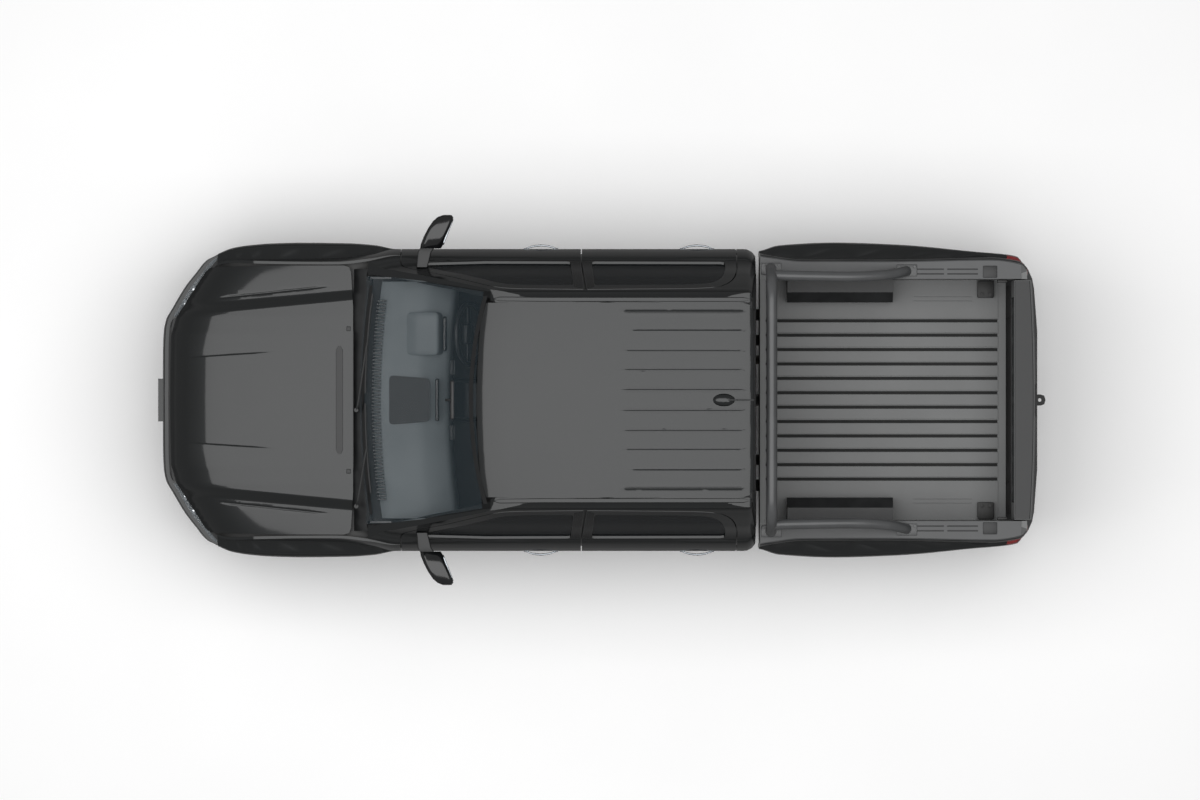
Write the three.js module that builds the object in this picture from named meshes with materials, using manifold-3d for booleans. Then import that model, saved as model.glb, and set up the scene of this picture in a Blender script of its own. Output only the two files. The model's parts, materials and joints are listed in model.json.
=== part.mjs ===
// A mid-size crew-cab pickup truck: ladder frame, four-door cab, separate load bed with a sports bar.
// Millimetres, +X forward, +Y to the truck's left, +Z up. The origin is on the ground, under the middle
// of the overall box. The truck is right-hand drive.
import * as THREE from "three";
import { mergeVertices } from "three/addons/utils/BufferGeometryUtils.js";
import Module from "manifold-3d";

const wasm = await Module();
wasm.setup();

// ---------------------------------------------------------------------------------------------
// Driving dimensions
// ---------------------------------------------------------------------------------------------
const HALF_LENGTH = 2702; // number plate to the end of the tow tongue, halved
const WHEELBASE = 3270;
const FRONT_AXLE_X = 1831;
const REAR_AXLE_X = FRONT_AXLE_X - WHEELBASE;
const WHEEL_Y = 810; // half the track
const TYRE_RADIUS = 392;
const TYRE_WIDTH = 265;
const WHEEL_SEGMENTS = 22;
const RIM_RADIUS = 240; // over the flange
const RIM_WIDTH = 232;
const BARREL_RADIUS = 214; // clear inside of the rim
const AXLE_Z = TYRE_RADIUS * Math.cos(Math.PI / WHEEL_SEGMENTS); // a tyre stands on one flat of its outline
const ARCH_RADIUS = 458;
const ARCH_SIDES = 28;
const HUB_INSET = 34; // from the wheel's middle to the hub face that it is bolted to
const HUB_FACE_Y = WHEEL_Y - HUB_INSET - 0.5;
const KINGPIN_OFFSET = 40; // from the wheel's middle to the steering axis, at axle height

const SHUT_GAP = 7; // between a moving panel and its neighbour
const FIT_GAP = 0.5; // between two fixed pieces that meet

const SILL_Z = 430; // underside of the cab's sills
const DOOR_BOTTOM_Z = 505;
const DOOR_THICKNESS = 96;
const DOOR_FLANGE = 28; // depth of the door's outer pan, which overlaps the frame
const DOOR_RETURN = 45; // how far the door's inner pan stands in from its edge
const SIDE_DEPTH_LOW = 120; // depth of the cab's side frame below the belt
const SIDE_DEPTH_HIGH = 68; // and of its pillars and cantrail
const DOOR_FRONT_X = 1213;
const DOOR_SPLIT_X = 128;
const DOOR_REAR_X = -805;
const CAB_REAR_X = -925;
const FLOOR_Z = 550; // top of the cab floor
const BELT_Z = 1262;
const GLASS_THICKNESS = 6;
const GLASS_INSET = 14; // side glass stands in from the skin

const HOOD_HALF_WIDTH = 812;
const HOOD_REAR_X = 1504;
const HOOD_THICKNESS = 24;
const HOOD_LIP_Z = 985; // front edge of the hood at the middle
const FENDER_THICKNESS = 16;
const LAMP_TOP_GAP = 8; // between the hood's lip and the lamps and grille under it
const SCREEN_BASE_X = 1455;
const SCREEN_BASE_Z = 1222;
const SCREEN_TOP_X = 759;
const SCREEN_TOP_Z = 1748;
const SCREEN_SWEEP = 50; // how far the screen's sides stand behind its middle
const ROOF_HALF_WIDTH = 581;
const ROOF_THICKNESS = 30;
const ROOF_REAR_X = -900;

const BED_FRONT_X = -948;
const BED_REAR_X = -2556;
const BED_SKIN_THICKNESS = 20;
const BED_WALL_THICKNESS = 34;
const BED_FLOOR_Z = 800;
const BED_FLOOR_THICKNESS = 32;
const BED_TOP_Z = 1300;
const BED_INNER_Y = 728;
const BED_FLOOR_REAR_X = -2400;
const RIB_COUNT = 12;
const RIB_PITCH = 87.4;
const WHEELHOUSE_Y = 592;
const WHEELHOUSE_TOP_Z = 985;
const WHEELHOUSE_HALF = 320;
const TAILGATE_X = -2480; // its inner face
const TAILGATE_HALF_WIDTH = BED_INNER_Y - SHUT_GAP;
const TAILGATE_AXIS_Z = 790;
const TAILGATE_HEIGHT = 512;
const BUMPER_TOP_Z = 646; // the open tailgate passes over it
const REAR_BUMPER_BOTTOM_Z = 512;

const RAIL_Y = 365; // middle of a frame rail, from the truck's middle
const RAIL_WIDTH = 64;
const RAIL_TOP_CAB = 496; // under the cab
const RAIL_TOP_BED = 690; // under the load bed
const CAB_UNDERSIDE_Z = FLOOR_Z - 30;

// ---------------------------------------------------------------------------------------------
// Curves, outlines and solids
// ---------------------------------------------------------------------------------------------

// A smooth curve through points [a, b] with rising a, that doesn't overshoot, as a function of a.
function curveThrough(points) {
  const count = points.length;
  const slope = [];
  for (let i = 0; i < count - 1; i++) {
    slope.push((points[i + 1][1] - points[i][1]) / (points[i + 1][0] - points[i][0]));
  }
  const tangent = points.map((_, i) => {
    if (i === 0) return slope[0];
    if (i === count - 1) return slope[count - 2];
    if (slope[i - 1] * slope[i] <= 0) return 0;
    return (2 * slope[i - 1] * slope[i]) / (slope[i - 1] + slope[i]);
  });
  return (a) => {
    if (a <= points[0][0]) return points[0][1];
    if (a >= points[count - 1][0]) return points[count - 1][1];
    const i = points.findIndex((p) => p[0] > a) - 1;
    const step = points[i + 1][0] - points[i][0];
    const t = (a - points[i][0]) / step;
    const t2 = t * t;
    const t3 = t2 * t;
    return (
      (2 * t3 - 3 * t2 + 1) * points[i][1] +
      (t3 - 2 * t2 + t) * step * tangent[i] +
      (3 * t2 - 2 * t3) * points[i + 1][1] +
      (t3 - t2) * step * tangent[i + 1]
    );
  };
}

const range = (low, high, steps) =>
  Array.from({ length: steps + 1 }, (_, i) => low + ((high - low) * i) / steps);

function solidFrom(positions, triangles) {
  let volume = 0;
  const at = (i) => new THREE.Vector3(positions[3 * i], positions[3 * i + 1], positions[3 * i + 2]);
  for (let i = 0; i < triangles.length; i += 3) {
    volume += at(triangles[i]).dot(at(triangles[i + 1]).cross(at(triangles[i + 2])));
  }
  const facing = volume < 0 ? triangles.slice().reverse() : triangles;
  return new wasm.Manifold(
    new wasm.Mesh({
      numProp: 3,
      vertProperties: new Float32Array(positions),
      triVerts: new Uint32Array(facing),
    }),
  );
}

function solid(geometry) {
  const bare = geometry.index ? geometry.toNonIndexed() : geometry.clone();
  const only = new THREE.BufferGeometry().setAttribute("position", bare.getAttribute("position"));
  const merged = mergeVertices(only, 1e-3);
  return solidFrom(Array.from(merged.attributes.position.array), Array.from(merged.index.array));
}

// A solid between two surfaces low(u, v) and high(u, v) over a grid. place puts (u, v, height) in space.
function slab(us, vs, low, high, place) {
  const positions = [];
  const triangles = [];
  for (const height of [low, high]) {
    for (const u of us) {
      for (const v of vs) positions.push(...place(u, v, height(u, v)));
    }
  }
  const layer = us.length * vs.length;
  const id = (i, j, top) => i * vs.length + j + (top ? layer : 0);
  const quad = (a, b, c, d) => triangles.push(a, b, c, a, c, d);
  for (let i = 0; i < us.length - 1; i++) {
    for (let j = 0; j < vs.length - 1; j++) {
      quad(id(i, j, 1), id(i + 1, j, 1), id(i + 1, j + 1, 1), id(i, j + 1, 1));
      quad(id(i, j, 0), id(i, j + 1, 0), id(i + 1, j + 1, 0), id(i + 1, j, 0));
    }
  }
  const lastU = us.length - 1;
  const lastV = vs.length - 1;
  for (let i = 0; i < lastU; i++) {
    quad(id(i, 0, 0), id(i + 1, 0, 0), id(i + 1, 0, 1), id(i, 0, 1));
    quad(id(i + 1, lastV, 0), id(i, lastV, 0), id(i, lastV, 1), id(i + 1, lastV, 1));
  }
  for (let j = 0; j < lastV; j++) {
    quad(id(0, j + 1, 0), id(0, j, 0), id(0, j, 1), id(0, j + 1, 1));
    quad(id(lastU, j, 0), id(lastU, j + 1, 0), id(lastU, j + 1, 1), id(lastU, j, 1));
  }
  return solidFrom(positions, triangles);
}

const sideSlab = (xs, zs, inner, outer) => slab(xs, zs, inner, outer, (x, z, y) => [x, y, z]);
const topSlab = (xs, ys, low, high) => slab(xs, ys, low, high, (x, y, z) => [x, y, z]);
const frontSlab = (ys, zs, back, front) => slab(ys, zs, back, front, (y, z, x) => [x, y, z]);

// A closed outline with each corner rounded by up to its radius, as a THREE.Shape.
function outline(points, radius = 0) {
  const shape = new THREE.Shape();
  const count = points.length;
  points.forEach(([a, b, own], i) => {
    const corner = new THREE.Vector2(a, b);
    const before = new THREE.Vector2(...points[(i + count - 1) % count]);
    const after = new THREE.Vector2(...points[(i + 1) % count]);
    const reach = Math.min(own ?? radius, corner.distanceTo(before) / 2.01, corner.distanceTo(after) / 2.01);
    if (reach < 1) {
      if (i === 0) shape.moveTo(a, b);
      else shape.lineTo(a, b);
      return;
    }
    const enter = corner.clone().add(before.sub(corner).setLength(reach));
    const leave = corner.clone().add(after.sub(corner).setLength(reach));
    if (i === 0) shape.moveTo(enter.x, enter.y);
    else shape.lineTo(enter.x, enter.y);
    shape.quadraticCurveTo(a, b, leave.x, leave.y);
  });
  return shape;
}

// The outline's points moved outwards by a distance, or inwards if it is negative. Radii follow.
function grown(points, distance) {
  const count = points.length;
  let area = 0;
  points.forEach(([a, b], i) => {
    const [c, d] = points[(i + 1) % count];
    area += a * d - b * c;
  });
  const side = area > 0 ? 1 : -1;
  const edge = (i) => {
    const [a, b] = points[(i + count) % count];
    const [c, d] = points[(i + 1 + count) % count];
    const length = Math.hypot(c - a, d - b);
    return { normal: [(side * (d - b)) / length, (-side * (c - a)) / length], from: [a, b] };
  };
  return points.map(([a, b, own], i) => {
    const one = edge(i - 1).normal;
    const two = edge(i).normal;
    const scale = distance / (1 + one[0] * two[0] + one[1] * two[1]);
    const moved = [a + (one[0] + two[0]) * scale, b + (one[1] + two[1]) * scale];
    return own === undefined ? moved : [...moved, Math.max(0, own + distance)];
  });
}

const PLANES = {
  XY: new THREE.Matrix4(),
  YZ: new THREE.Matrix4().makeBasis(
    new THREE.Vector3(0, 1, 0),
    new THREE.Vector3(0, 0, 1),
    new THREE.Vector3(1, 0, 0),
  ),
  XZ: new THREE.Matrix4().makeBasis(
    new THREE.Vector3(1, 0, 0),
    new THREE.Vector3(0, 0, 1),
    new THREE.Vector3(0, -1, 0),
  ),
};

// A prism over an outline drawn in a plane, from low to high along the third axis.
function prism(plane, points, low, high, radius = 0, curveSegments = 2) {
  const shape = points instanceof THREE.Shape ? points : outline(points, radius);
  const geometry = new THREE.ExtrudeGeometry(shape, {
    depth: high - low,
    bevelEnabled: false,
    curveSegments,
  });
  geometry.translate(0, 0, plane === "XZ" ? -high : low);
  return solid(geometry.applyMatrix4(PLANES[plane]));
}

// A prism across the cab whose sections stand further back at the sides, as the windscreen does.
function alongScreen(points, halfWidth) {
  const geometry = new THREE.ExtrudeGeometry(outline(points), {
    depth: 2 * halfWidth,
    bevelEnabled: false,
    steps: 4,
    curveSegments: 2,
  });
  geometry.translate(0, 0, -halfWidth).applyMatrix4(PLANES.XZ);
  const at = geometry.getAttribute("position");
  for (let i = 0; i < at.count; i++) at.setX(i, at.getX(i) - sweep(at.getY(i)));
  return solid(geometry);
}

function box(xs, ys, zs) {
  const geometry = new THREE.BoxGeometry(xs[1] - xs[0], ys[1] - ys[0], zs[1] - zs[0]);
  geometry.translate((xs[0] + xs[1]) / 2, (ys[0] + ys[1]) / 2, (zs[0] + zs[1]) / 2);
  return solid(geometry);
}

const circle = (radius, sides) => {
  const points = range(0, 2 * Math.PI, sides).slice(0, sides);
  return new THREE.Shape(points.map((a) => new THREE.Vector2(radius * Math.cos(a), radius * Math.sin(a))));
};

// A cylinder from one point to another.
function rod(from, to, radius, sides = 10) {
  const start = new THREE.Vector3(...from);
  const way = new THREE.Vector3(...to).sub(start);
  const geometry = new THREE.CylinderGeometry(radius, radius, way.length(), sides);
  geometry.translate(0, way.length() / 2, 0);
  const turn = new THREE.Quaternion().setFromUnitVectors(new THREE.Vector3(0, 1, 0), way.clone().normalize());
  geometry.applyQuaternion(turn);
  return solid(geometry.translate(...from));
}

// A round tube along a smooth route.
function tube(points, radius, steps, sides = 10) {
  const route = new THREE.CatmullRomCurve3(
    points.map((p) => new THREE.Vector3(...p)),
    false,
    "centripetal",
  );
  return solid(new THREE.ExtrudeGeometry(circle(radius, sides), { steps, extrudePath: route }));
}

// A solid of revolution about the Y axis through a wheel's centre, with a flat of its outline downwards.
function turned(profile, segments) {
  const points = profile.map(([radius, y]) => new THREE.Vector2(radius, y));
  return solid(new THREE.LatheGeometry([...points, points[0]], segments, Math.PI / segments));
}

const union = (...solids) => solids.reduce((whole, s) => whole.add(s));
const mirrored = (s) => s.mirror([0, 1, 0]);

const truck = new THREE.Group();

function add(name, made, material, position) {
  const mesh = made.getMesh();
  const geometry = new THREE.BufferGeometry()
    .setAttribute("position", new THREE.BufferAttribute(new Float32Array(mesh.vertProperties), 3))
    .setIndex(new THREE.BufferAttribute(new Uint32Array(mesh.triVerts), 1));
  const placed = new THREE.Mesh(geometry, material);
  placed.name = name;
  if (position) placed.position.set(...position);
  truck.add(placed);
}

function addPair(stem, made, material) {
  add(`${stem}_left`, made, material);
  add(`${stem}_right`, mirrored(made), material);
}

const finish = (color, roughness, metalness = 0) =>
  new THREE.MeshStandardMaterial({ color, roughness, metalness });
const PAINT = finish(0x16191b, 0.2, 0.3);
const BLACK_PLASTIC = finish(0x26272a, 0.6);
const BED_LINER = finish(0x3a3b3d, 0.75);
const CHASSIS_BLACK = finish(0x1b1b1c, 0.7, 0.4);
const CAST_METAL = finish(0x6b6d70, 0.55, 0.8);
const ALLOY = finish(0x55585c, 0.35, 0.9);
const RUBBER = finish(0x151516, 0.9);
const GLASS = new THREE.MeshStandardMaterial({ color: 0x1d2326, roughness: 0.05, transparent: true, opacity: 0.4 });
const LAMP = finish(0xb9bec2, 0.1);
const RED_LAMP = finish(0x7a0c0e, 0.15);
const CABIN_PLASTIC = finish(0x2d3032, 0.7);
const SEAT_CLOTH = finish(0x26282a, 0.9);

// ---------------------------------------------------------------------------------------------
// The body's surfaces
// ---------------------------------------------------------------------------------------------

// Half width of the body at a height, where nothing flares: cab with its leaning glass, and load bed.
const CAB_PROFILE = curveThrough([
  [430, 850],
  [520, 890],
  [700, 906],
  [900, 914],
  [1030, 913],
  [1110, 900],
  [1190, 877],
  [1245, 853],
  [1262, 838],
  [1500, 752],
  [1700, 674],
  [1760, 646],
  [1800, 596],
]);
const BED_PROFILE = curveThrough([
  [540, 890],
  [700, 906],
  [900, 914],
  [1030, 914],
  [1270, 906],
  [1310, 890],
]);
// What the wheel arches add below their shelf, and what the body takes in above it.
const FLARE = curveThrough([
  [-2560, -104],
  [-2513, -44],
  [-2465, -33],
  [-2253, -13],
  [-1800, 29],
  [-1400, 42],
  [-1070, 25],
  [-930, -12],
  [-929, 0],
  [1240, 0],
  [1380, 26],
  [1550, 38],
  [1831, 41],
  [2000, 37],
  [2140, 26],
  [2246, 8],
  [2332, -27],
  [2410, -64],
]);
const TAKE_IN = curveThrough([
  [-2560, -120],
  [-2513, -72],
  [-2344, -50],
  [-1700, -60],
  [-1200, -58],
  [-1025, -38],
  [-930, -20],
  [-929, 0],
  [1240, 0],
  [1400, -30],
  [1600, -58],
  [2000, -66],
  [2250, -68],
  [2332, -84],
  [2410, -126],
]);
const SHELF = curveThrough([
  [850, 0],
  [905, 0.1],
  [930, 0.24],
  [946, 0.44],
  [966, 0.94],
  [985, 1],
]);
const CAB_CORNER = curveThrough([
  [-925, -46],
  [-900, -16],
  [-870, -2],
  [-850, 0],
]);
const NOSE_TAPER = curveThrough([
  [700, 0],
  [1225, -24],
  [1420, -34],
]);
const UPPER_ONLY = curveThrough([
  [1215, 0],
  [1290, 1],
]);

// Outer half width of the body at a place along it and a height.
function sideSkin(x, z) {
  const base = x < BED_FRONT_X + 10 ? BED_PROFILE(z) : CAB_PROFILE(z);
  const shelf = SHELF(z);
  const flare = FLARE(x) * (1 - shelf) + TAKE_IN(x) * shelf;
  const corner = x < BED_FRONT_X + 10 ? 0 : CAB_CORNER(x);
  return base + flare + corner + NOSE_TAPER(x) * UPPER_ONLY(z);
}

// The hood: its front edge in plan, its rise behind that edge, and the raised middle with its ramps.
const HOOD_FRONT = curveThrough([
  [0, 2617],
  [390, 2611],
  [440, 2596],
  [500, 2580],
  [536, 2557],
  [774, 2406],
  [HOOD_HALF_WIDTH + 40, 2350],
]);
const HOOD_RISE = curveThrough([
  [-60, -60],
  [0, 0],
  [40, 44],
  [120, 92],
  [250, 132],
  [400, 158],
  [700, 196],
  [1000, 222],
  [1300, 236],
]);
const RAMP_INNER = curveThrough([
  [1500, 600],
  [2313, 526],
]);
const RAMP_WIDTH = 70;
const RAMP_DROP = 24;
const HOOD_CROWN = 24;

function hoodSkin(x, y) {
  const side = Math.abs(y);
  const ramp = THREE.MathUtils.smoothstep(side, RAMP_INNER(x), RAMP_INNER(x) + RAMP_WIDTH);
  const crown = HOOD_CROWN * (side / HOOD_HALF_WIDTH) ** 2;
  return HOOD_LIP_Z + HOOD_RISE(HOOD_FRONT(side) - x) - ramp * RAMP_DROP - crown;
}

// The nose: its outline in plan and how far each height stands behind it.
const NOSE_PLAN = curveThrough([
  [0, 2677],
  [300, 2676],
  [420, 2671],
  [490, 2657],
  [560, 2618],
  [690, 2540],
  [771, 2477],
  [852, 2408],
  [886, 2335],
  [908, 2280],
]);
const NOSE_SETBACK = curveThrough([
  [330, 62],
  [380, 26],
  [450, 6],
  [560, 0],
  [700, 4],
  [790, 20],
  [802, 42],
  [900, 52],
  [1000, 70],
]);
const noseSkin = (y, z) => NOSE_PLAN(Math.abs(y)) - NOSE_SETBACK(z);

// The windscreen leans back from the cowl to the roof and bows forward in the middle.
const ROOF_CROWN = 34;
const AERIAL_X = -722; // middle of the foot
const AERIAL_LENGTH = 138;
const AERIAL_WIDTH = 78;
const AERIAL_HEIGHT = 26;
const AERIAL_TIP_X = -903;
const AERIAL_RISE = 92;
const AERIAL_WHIP_RADIUS = 5;
const sweep = (y) => SCREEN_SWEEP * (y / 700) ** 2;

function screenX(y, z) {
  const top = SCREEN_TOP_Z - ROOF_CROWN * (y / 650) ** 2;
  const share = (z - SCREEN_BASE_Z) / (top - SCREEN_BASE_Z);
  const bow = 22 * share * (1 - share) * 4;
  return SCREEN_BASE_X + (SCREEN_TOP_X - SCREEN_BASE_X) * share + bow - sweep(y);
}

const ROOF_LINE = curveThrough([
  [-925, 1778],
  [-870, 1800],
  [-700, 1822],
  [-400, 1840],
  [0, 1848],
  [300, 1838],
  [560, 1808],
  [700, 1774],
  [759, 1750],
  [800, 1728],
]);

function roofSkin(x, y) {
  const swept = x + sweep(y) * THREE.MathUtils.smoothstep(x, 200, 640);
  return ROOF_LINE(swept) - ROOF_CROWN * (y / 650) ** 2;
}

const backX = (z) => CAB_REAR_X + Math.max(0, z - 1270) * 0.065;

// ---------------------------------------------------------------------------------------------
// Doors and the cab around them
// ---------------------------------------------------------------------------------------------

// Outlines are seen from the side, as [x, z, corner radius].
const FRONT_DOOR = [
  [DOOR_FRONT_X, DOOR_BOTTOM_Z, 40],
  [DOOR_FRONT_X, 1273, 20],
  [664, 1688, 60],
  [540, 1718, 90],
  [DOOR_SPLIT_X - 18, 1730, 12],
  [DOOR_SPLIT_X + SHUT_GAP / 2, BELT_Z, 30],
  [DOOR_SPLIT_X + SHUT_GAP / 2, DOOR_BOTTOM_Z, 30],
];
const REAR_DOOR = [
  [DOOR_SPLIT_X - SHUT_GAP / 2, DOOR_BOTTOM_Z, 30],
  [DOOR_SPLIT_X - SHUT_GAP / 2, BELT_Z, 30],
  [DOOR_SPLIT_X - 18 - 2 * SHUT_GAP, 1730, 12],
  [-560, 1716, 70],
  [-716, 1688, 60],
  [-780, 1590, 80],
  [DOOR_REAR_X, 1440, 60],
  [DOOR_REAR_X, 760, 60],
  [DOOR_REAR_X + 60, DOOR_BOTTOM_Z, 50],
];
const FRONT_WINDOW = [
  [1072, BELT_Z + 2, 24],
  [1060, 1310, 20],
  [628, 1636, 60],
  [520, 1662, 60],
  [DOOR_SPLIT_X + 46, 1668, 24],
  [DOOR_SPLIT_X + 64, BELT_Z + 8, 20],
];
const REAR_WINDOW = [
  [DOOR_SPLIT_X - 62, BELT_Z + 8, 20],
  [DOOR_SPLIT_X - 80, 1668, 24],
  [-540, 1658, 60],
  [-664, 1634, 50],
  [-716, 1556, 50],
  [-738, 1430, 50],
  [-738, BELT_Z + 12, 30],
];
const SKIN_ROWS = [428, CAB_UNDERSIDE_Z, 700, 930, 1030, 1120, 1215, 1262, 1500, 1690, 1760, 1812];
const CORNER_END_X = -850; // the cab's rear corners start to round here

const depthSlab = (xs, zs, from, to) =>
  sideSlab(
    xs,
    zs,
    (x, z) => sideSkin(x, z) - to,
    (x, z) => sideSkin(x, z) - from,
  );

function door(shape, window, xs) {
  const outerPan = depthSlab(xs, SKIN_ROWS, 0, DOOR_FLANGE).intersect(prism("XZ", shape, 0, 1200));
  const innerPan = depthSlab(xs, SKIN_ROWS, DOOR_FLANGE - 1, DOOR_THICKNESS).intersect(
    prism("XZ", grown(shape, -DOOR_RETURN), 0, 1200),
  );
  return outerPan.add(innerPan).subtract(prism("XZ", window, 0, 1200));
}

function sideGlass(window, xs) {
  const sheet = depthSlab(xs, SKIN_ROWS, GLASS_INSET, GLASS_INSET + GLASS_THICKNESS);
  return sheet.intersect(prism("XZ", grown(window, -FIT_GAP), 0, 1200));
}

const FRONT_DOOR_XS = [60, 700, 960, 1240];
const REAR_DOOR_XS = [-830, 180];

const windowLine = (z, inset) => screenX(700, z) - inset;
const CAB_SIDE = [
  [1290, SILL_Z],
  [1290, 1196],
  [windowLine(1212, 4), 1212],
  [windowLine(1480, 0), 1480],
  [windowLine(SCREEN_TOP_Z, 0), SCREEN_TOP_Z],
  [500, 1830],
  [backX(1830) + 4, 1830],
  [CAB_REAR_X + 2, 1270],
  [CAB_REAR_X + 2, SILL_Z],
];

function sideDepth(z) {
  return THREE.MathUtils.lerp(SIDE_DEPTH_LOW, SIDE_DEPTH_HIGH, THREE.MathUtils.smoothstep(z, 1200, 1290));
}

// The glass edge in plan: the screen lies inside it and the pillar outside.
const SCREEN_PLAN = [
  [1480, 752],
  [1225, 736],
  [SCREEN_TOP_X - 60, 646],
  [SCREEN_TOP_X - 90, 640],
];

function screenRegion(gap) {
  const left = SCREEN_PLAN.map(([x, y]) => [x, y + gap]);
  const right = SCREEN_PLAN.map(([x, y]) => [x, -y - gap]).reverse();
  return prism("XY", [...left, ...right], 1100, 1760);
}

const ROOF_COLUMNS = [-960, -900, -870, -700, -300, 100, 350, 560, 660, 720, 775];
const ROOF_ROWS = range(-600, 600, 6);

function cabSide() {
  const xs = [-925, -900, -870, 0, 700, 960, 1225, 1420];
  const blank = sideSlab(
    xs,
    SKIN_ROWS,
    (x, z) => sideSkin(Math.max(x, CORNER_END_X), z) - sideDepth(z),
    (x, z) => sideSkin(x, z),
  ).intersect(prism("XZ", CAB_SIDE, 0, 1200));
  const underRoof = topSlab(
    [...ROOF_COLUMNS, 1500],
    [500, 560, 620, 680, 1000],
    () => 300,
    (x, y) => roofSkin(x, y) - 2,
  ).add(box([700, 1500], [400, 1000], [300, SCREEN_TOP_Z - 20]));
  const rebate = (shape) =>
    depthSlab(xs, SKIN_ROWS, -60, DOOR_FLANGE + SHUT_GAP).intersect(prism("XZ", grown(shape, SHUT_GAP), 0, 1200));
  const opening = (shape) => prism("XZ", grown(shape, SHUT_GAP - DOOR_RETURN), 0, 1200);
  const behindFender = depthSlab(xs, SKIN_ROWS, -60, DOOR_FLANGE + SHUT_GAP).intersect(
    box([DOOR_FRONT_X - 5, 1500], [0, 1200], [300, 1208]),
  );
  return blank
    .intersect(underRoof)
    .subtract(union(rebate(FRONT_DOOR), rebate(REAR_DOOR), opening(FRONT_DOOR), opening(REAR_DOOR)))
    .subtract(behindFender)
    .subtract(screenRegion(5))
    .subtract(box([-1000, 720], [0, ROOF_HALF_WIDTH + 0.4], [1600, 1900]));
}

function cabRearWall() {
  const rows = SKIN_ROWS.filter((z) => z >= CAB_UNDERSIDE_Z);
  const half = rows.map((z) => [sideSkin(CORNER_END_X, z) - sideDepth(z) - FIT_GAP, z]);
  const edge = [...half, ...half.map(([y, z]) => [-y, z]).reverse()];
  const wall = frontSlab(
    [-900, 900],
    [480, 1270, 1850],
    (y, z) => backX(z),
    (y, z) => backX(z) + 56,
  ).intersect(prism("YZ", edge, -1200, -600));
  const underRoof = topSlab(
    ROOF_COLUMNS,
    ROOF_ROWS,
    () => 300,
    (x, y) => roofSkin(x, y) - ROOF_THICKNESS - FIT_GAP,
  ).add(box([-1000, -700], [-1000, 1000], [300, 1690]));
  return wall.intersect(underRoof).subtract(prism("YZ", REAR_SCREEN, -1200, -600));
}

const REAR_SCREEN = [
  [590, 1318, 50],
  [530, 1672, 60],
  [-530, 1672, 60],
  [-590, 1318, 50],
];

function rearScreen() {
  const sheet = frontSlab(
    [-900, 900],
    [1290, 1800],
    (y, z) => backX(z) + 8,
    (y, z) => backX(z) + 8 + GLASS_THICKNESS,
  );
  return sheet.intersect(prism("YZ", grown(REAR_SCREEN, -FIT_GAP), -1200, -600));
}

function roof() {
  const sheet = topSlab(
    ROOF_COLUMNS,
    ROOF_ROWS,
    (x, y) => roofSkin(x, y) - ROOF_THICKNESS,
    (x, y) => roofSkin(x, y),
  );
  const front = range(-ROOF_HALF_WIDTH, ROOF_HALF_WIDTH, 6).map((y) => [SCREEN_TOP_X - 8 - sweep(y), y]);
  const plan = [...front, [ROOF_REAR_X, ROOF_HALF_WIDTH, 60], [ROOF_REAR_X, -ROOF_HALF_WIDTH, 60]];
  return union(sheet.intersect(prism("XY", plan, 1600, 2000)), aerial());
}

// A moulded teardrop foot on the roof's middle line with a short whip that leans back from it.
function aerial() {
  const footZ = roofSkin(AERIAL_X, 0) - 6;
  const foot = new THREE.SphereGeometry(1, 14, 8);
  foot.scale(AERIAL_LENGTH / 2, AERIAL_WIDTH / 2, AERIAL_HEIGHT + 6);
  foot.translate(AERIAL_X, 0, footZ);
  const whip = rod([AERIAL_X - 10, 0, footZ + 16], [AERIAL_TIP_X, 0, footZ + AERIAL_RISE], AERIAL_WHIP_RADIUS, 8);
  return union(solid(foot), whip);
}

function windscreen() {
  const sheet = frontSlab(
    range(-760, 760, 6),
    range(1204, 1780, 4),
    (y, z) => screenX(y, z) - 9,
    (y, z) => screenX(y, z),
  );
  const front = range(-ROOF_HALF_WIDTH, ROOF_HALF_WIDTH, 6).map((y) => [SCREEN_TOP_X - 7 - sweep(y), y]);
  const corner = SCREEN_TOP_X - 7 - sweep(760);
  front.unshift([corner, -760]);
  front.push([corner, 760]);
  const belowRoof = prism("XY", [...front, [1600, 760], [1600, -760]], 1100, 1760);
  return sheet.intersect(screenRegion(0)).intersect(belowRoof);
}

// Floor, firewall with the cowl on top of it, gearbox tunnel and rear wall: the middle of the welded cab.
function cabTub() {
  const pan = prism(
    "XZ",
    [
      [1288, 640, 40],
      [1288, 1150],
      [1250, 1150],
      [1250, 670, 60],
      [1120, FLOOR_Z, 60],
      [-880, FLOOR_Z],
      [-880, CAB_UNDERSIDE_Z],
      [1130, CAB_UNDERSIDE_Z, 60],
    ],
    -732,
    732,
  );
  const over = (half, top, ends) =>
    prism(
      "YZ",
      [
        [-half - 10, CAB_UNDERSIDE_Z - 10],
        [-half, top, 30],
        [half, top, 30],
        [half + 10, CAB_UNDERSIDE_Z - 10],
      ],
      ...ends,
    );
  const tunnel = over(124, 684, [-300, 1260]).intersect(box([-400, 1300], [-200, 200], [CAB_UNDERSIDE_Z, 700]));
  const cowl = alongScreen(
    [
      [1250, 1130],
      [1500, 1134],
      [1500, 1178],
      [1470, 1188],
      [1458, 1200],
      [1446, 1200],
      [1440, 1158],
      [1250, 1150],
    ],
    732,
  );
  return union(pan, tunnel, cowl, cabRearWall()).subtract(over(102, 660, [-330, 1300]));
}

addPair("cab_side", cabSide(), PAINT);
addPair("front_door", door(FRONT_DOOR, FRONT_WINDOW, FRONT_DOOR_XS), PAINT);
addPair("rear_door", door(REAR_DOOR, REAR_WINDOW, REAR_DOOR_XS), PAINT);
addPair("front_door_glass", sideGlass(FRONT_WINDOW, FRONT_DOOR_XS), GLASS);
addPair("rear_door_glass", sideGlass(REAR_WINDOW, REAR_DOOR_XS), GLASS);
add("rear_screen", rearScreen(), GLASS);
add("roof", roof(), PAINT);
add("windscreen", windscreen(), GLASS);
add("cab_tub", cabTub(), CHASSIS_BLACK);

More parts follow.
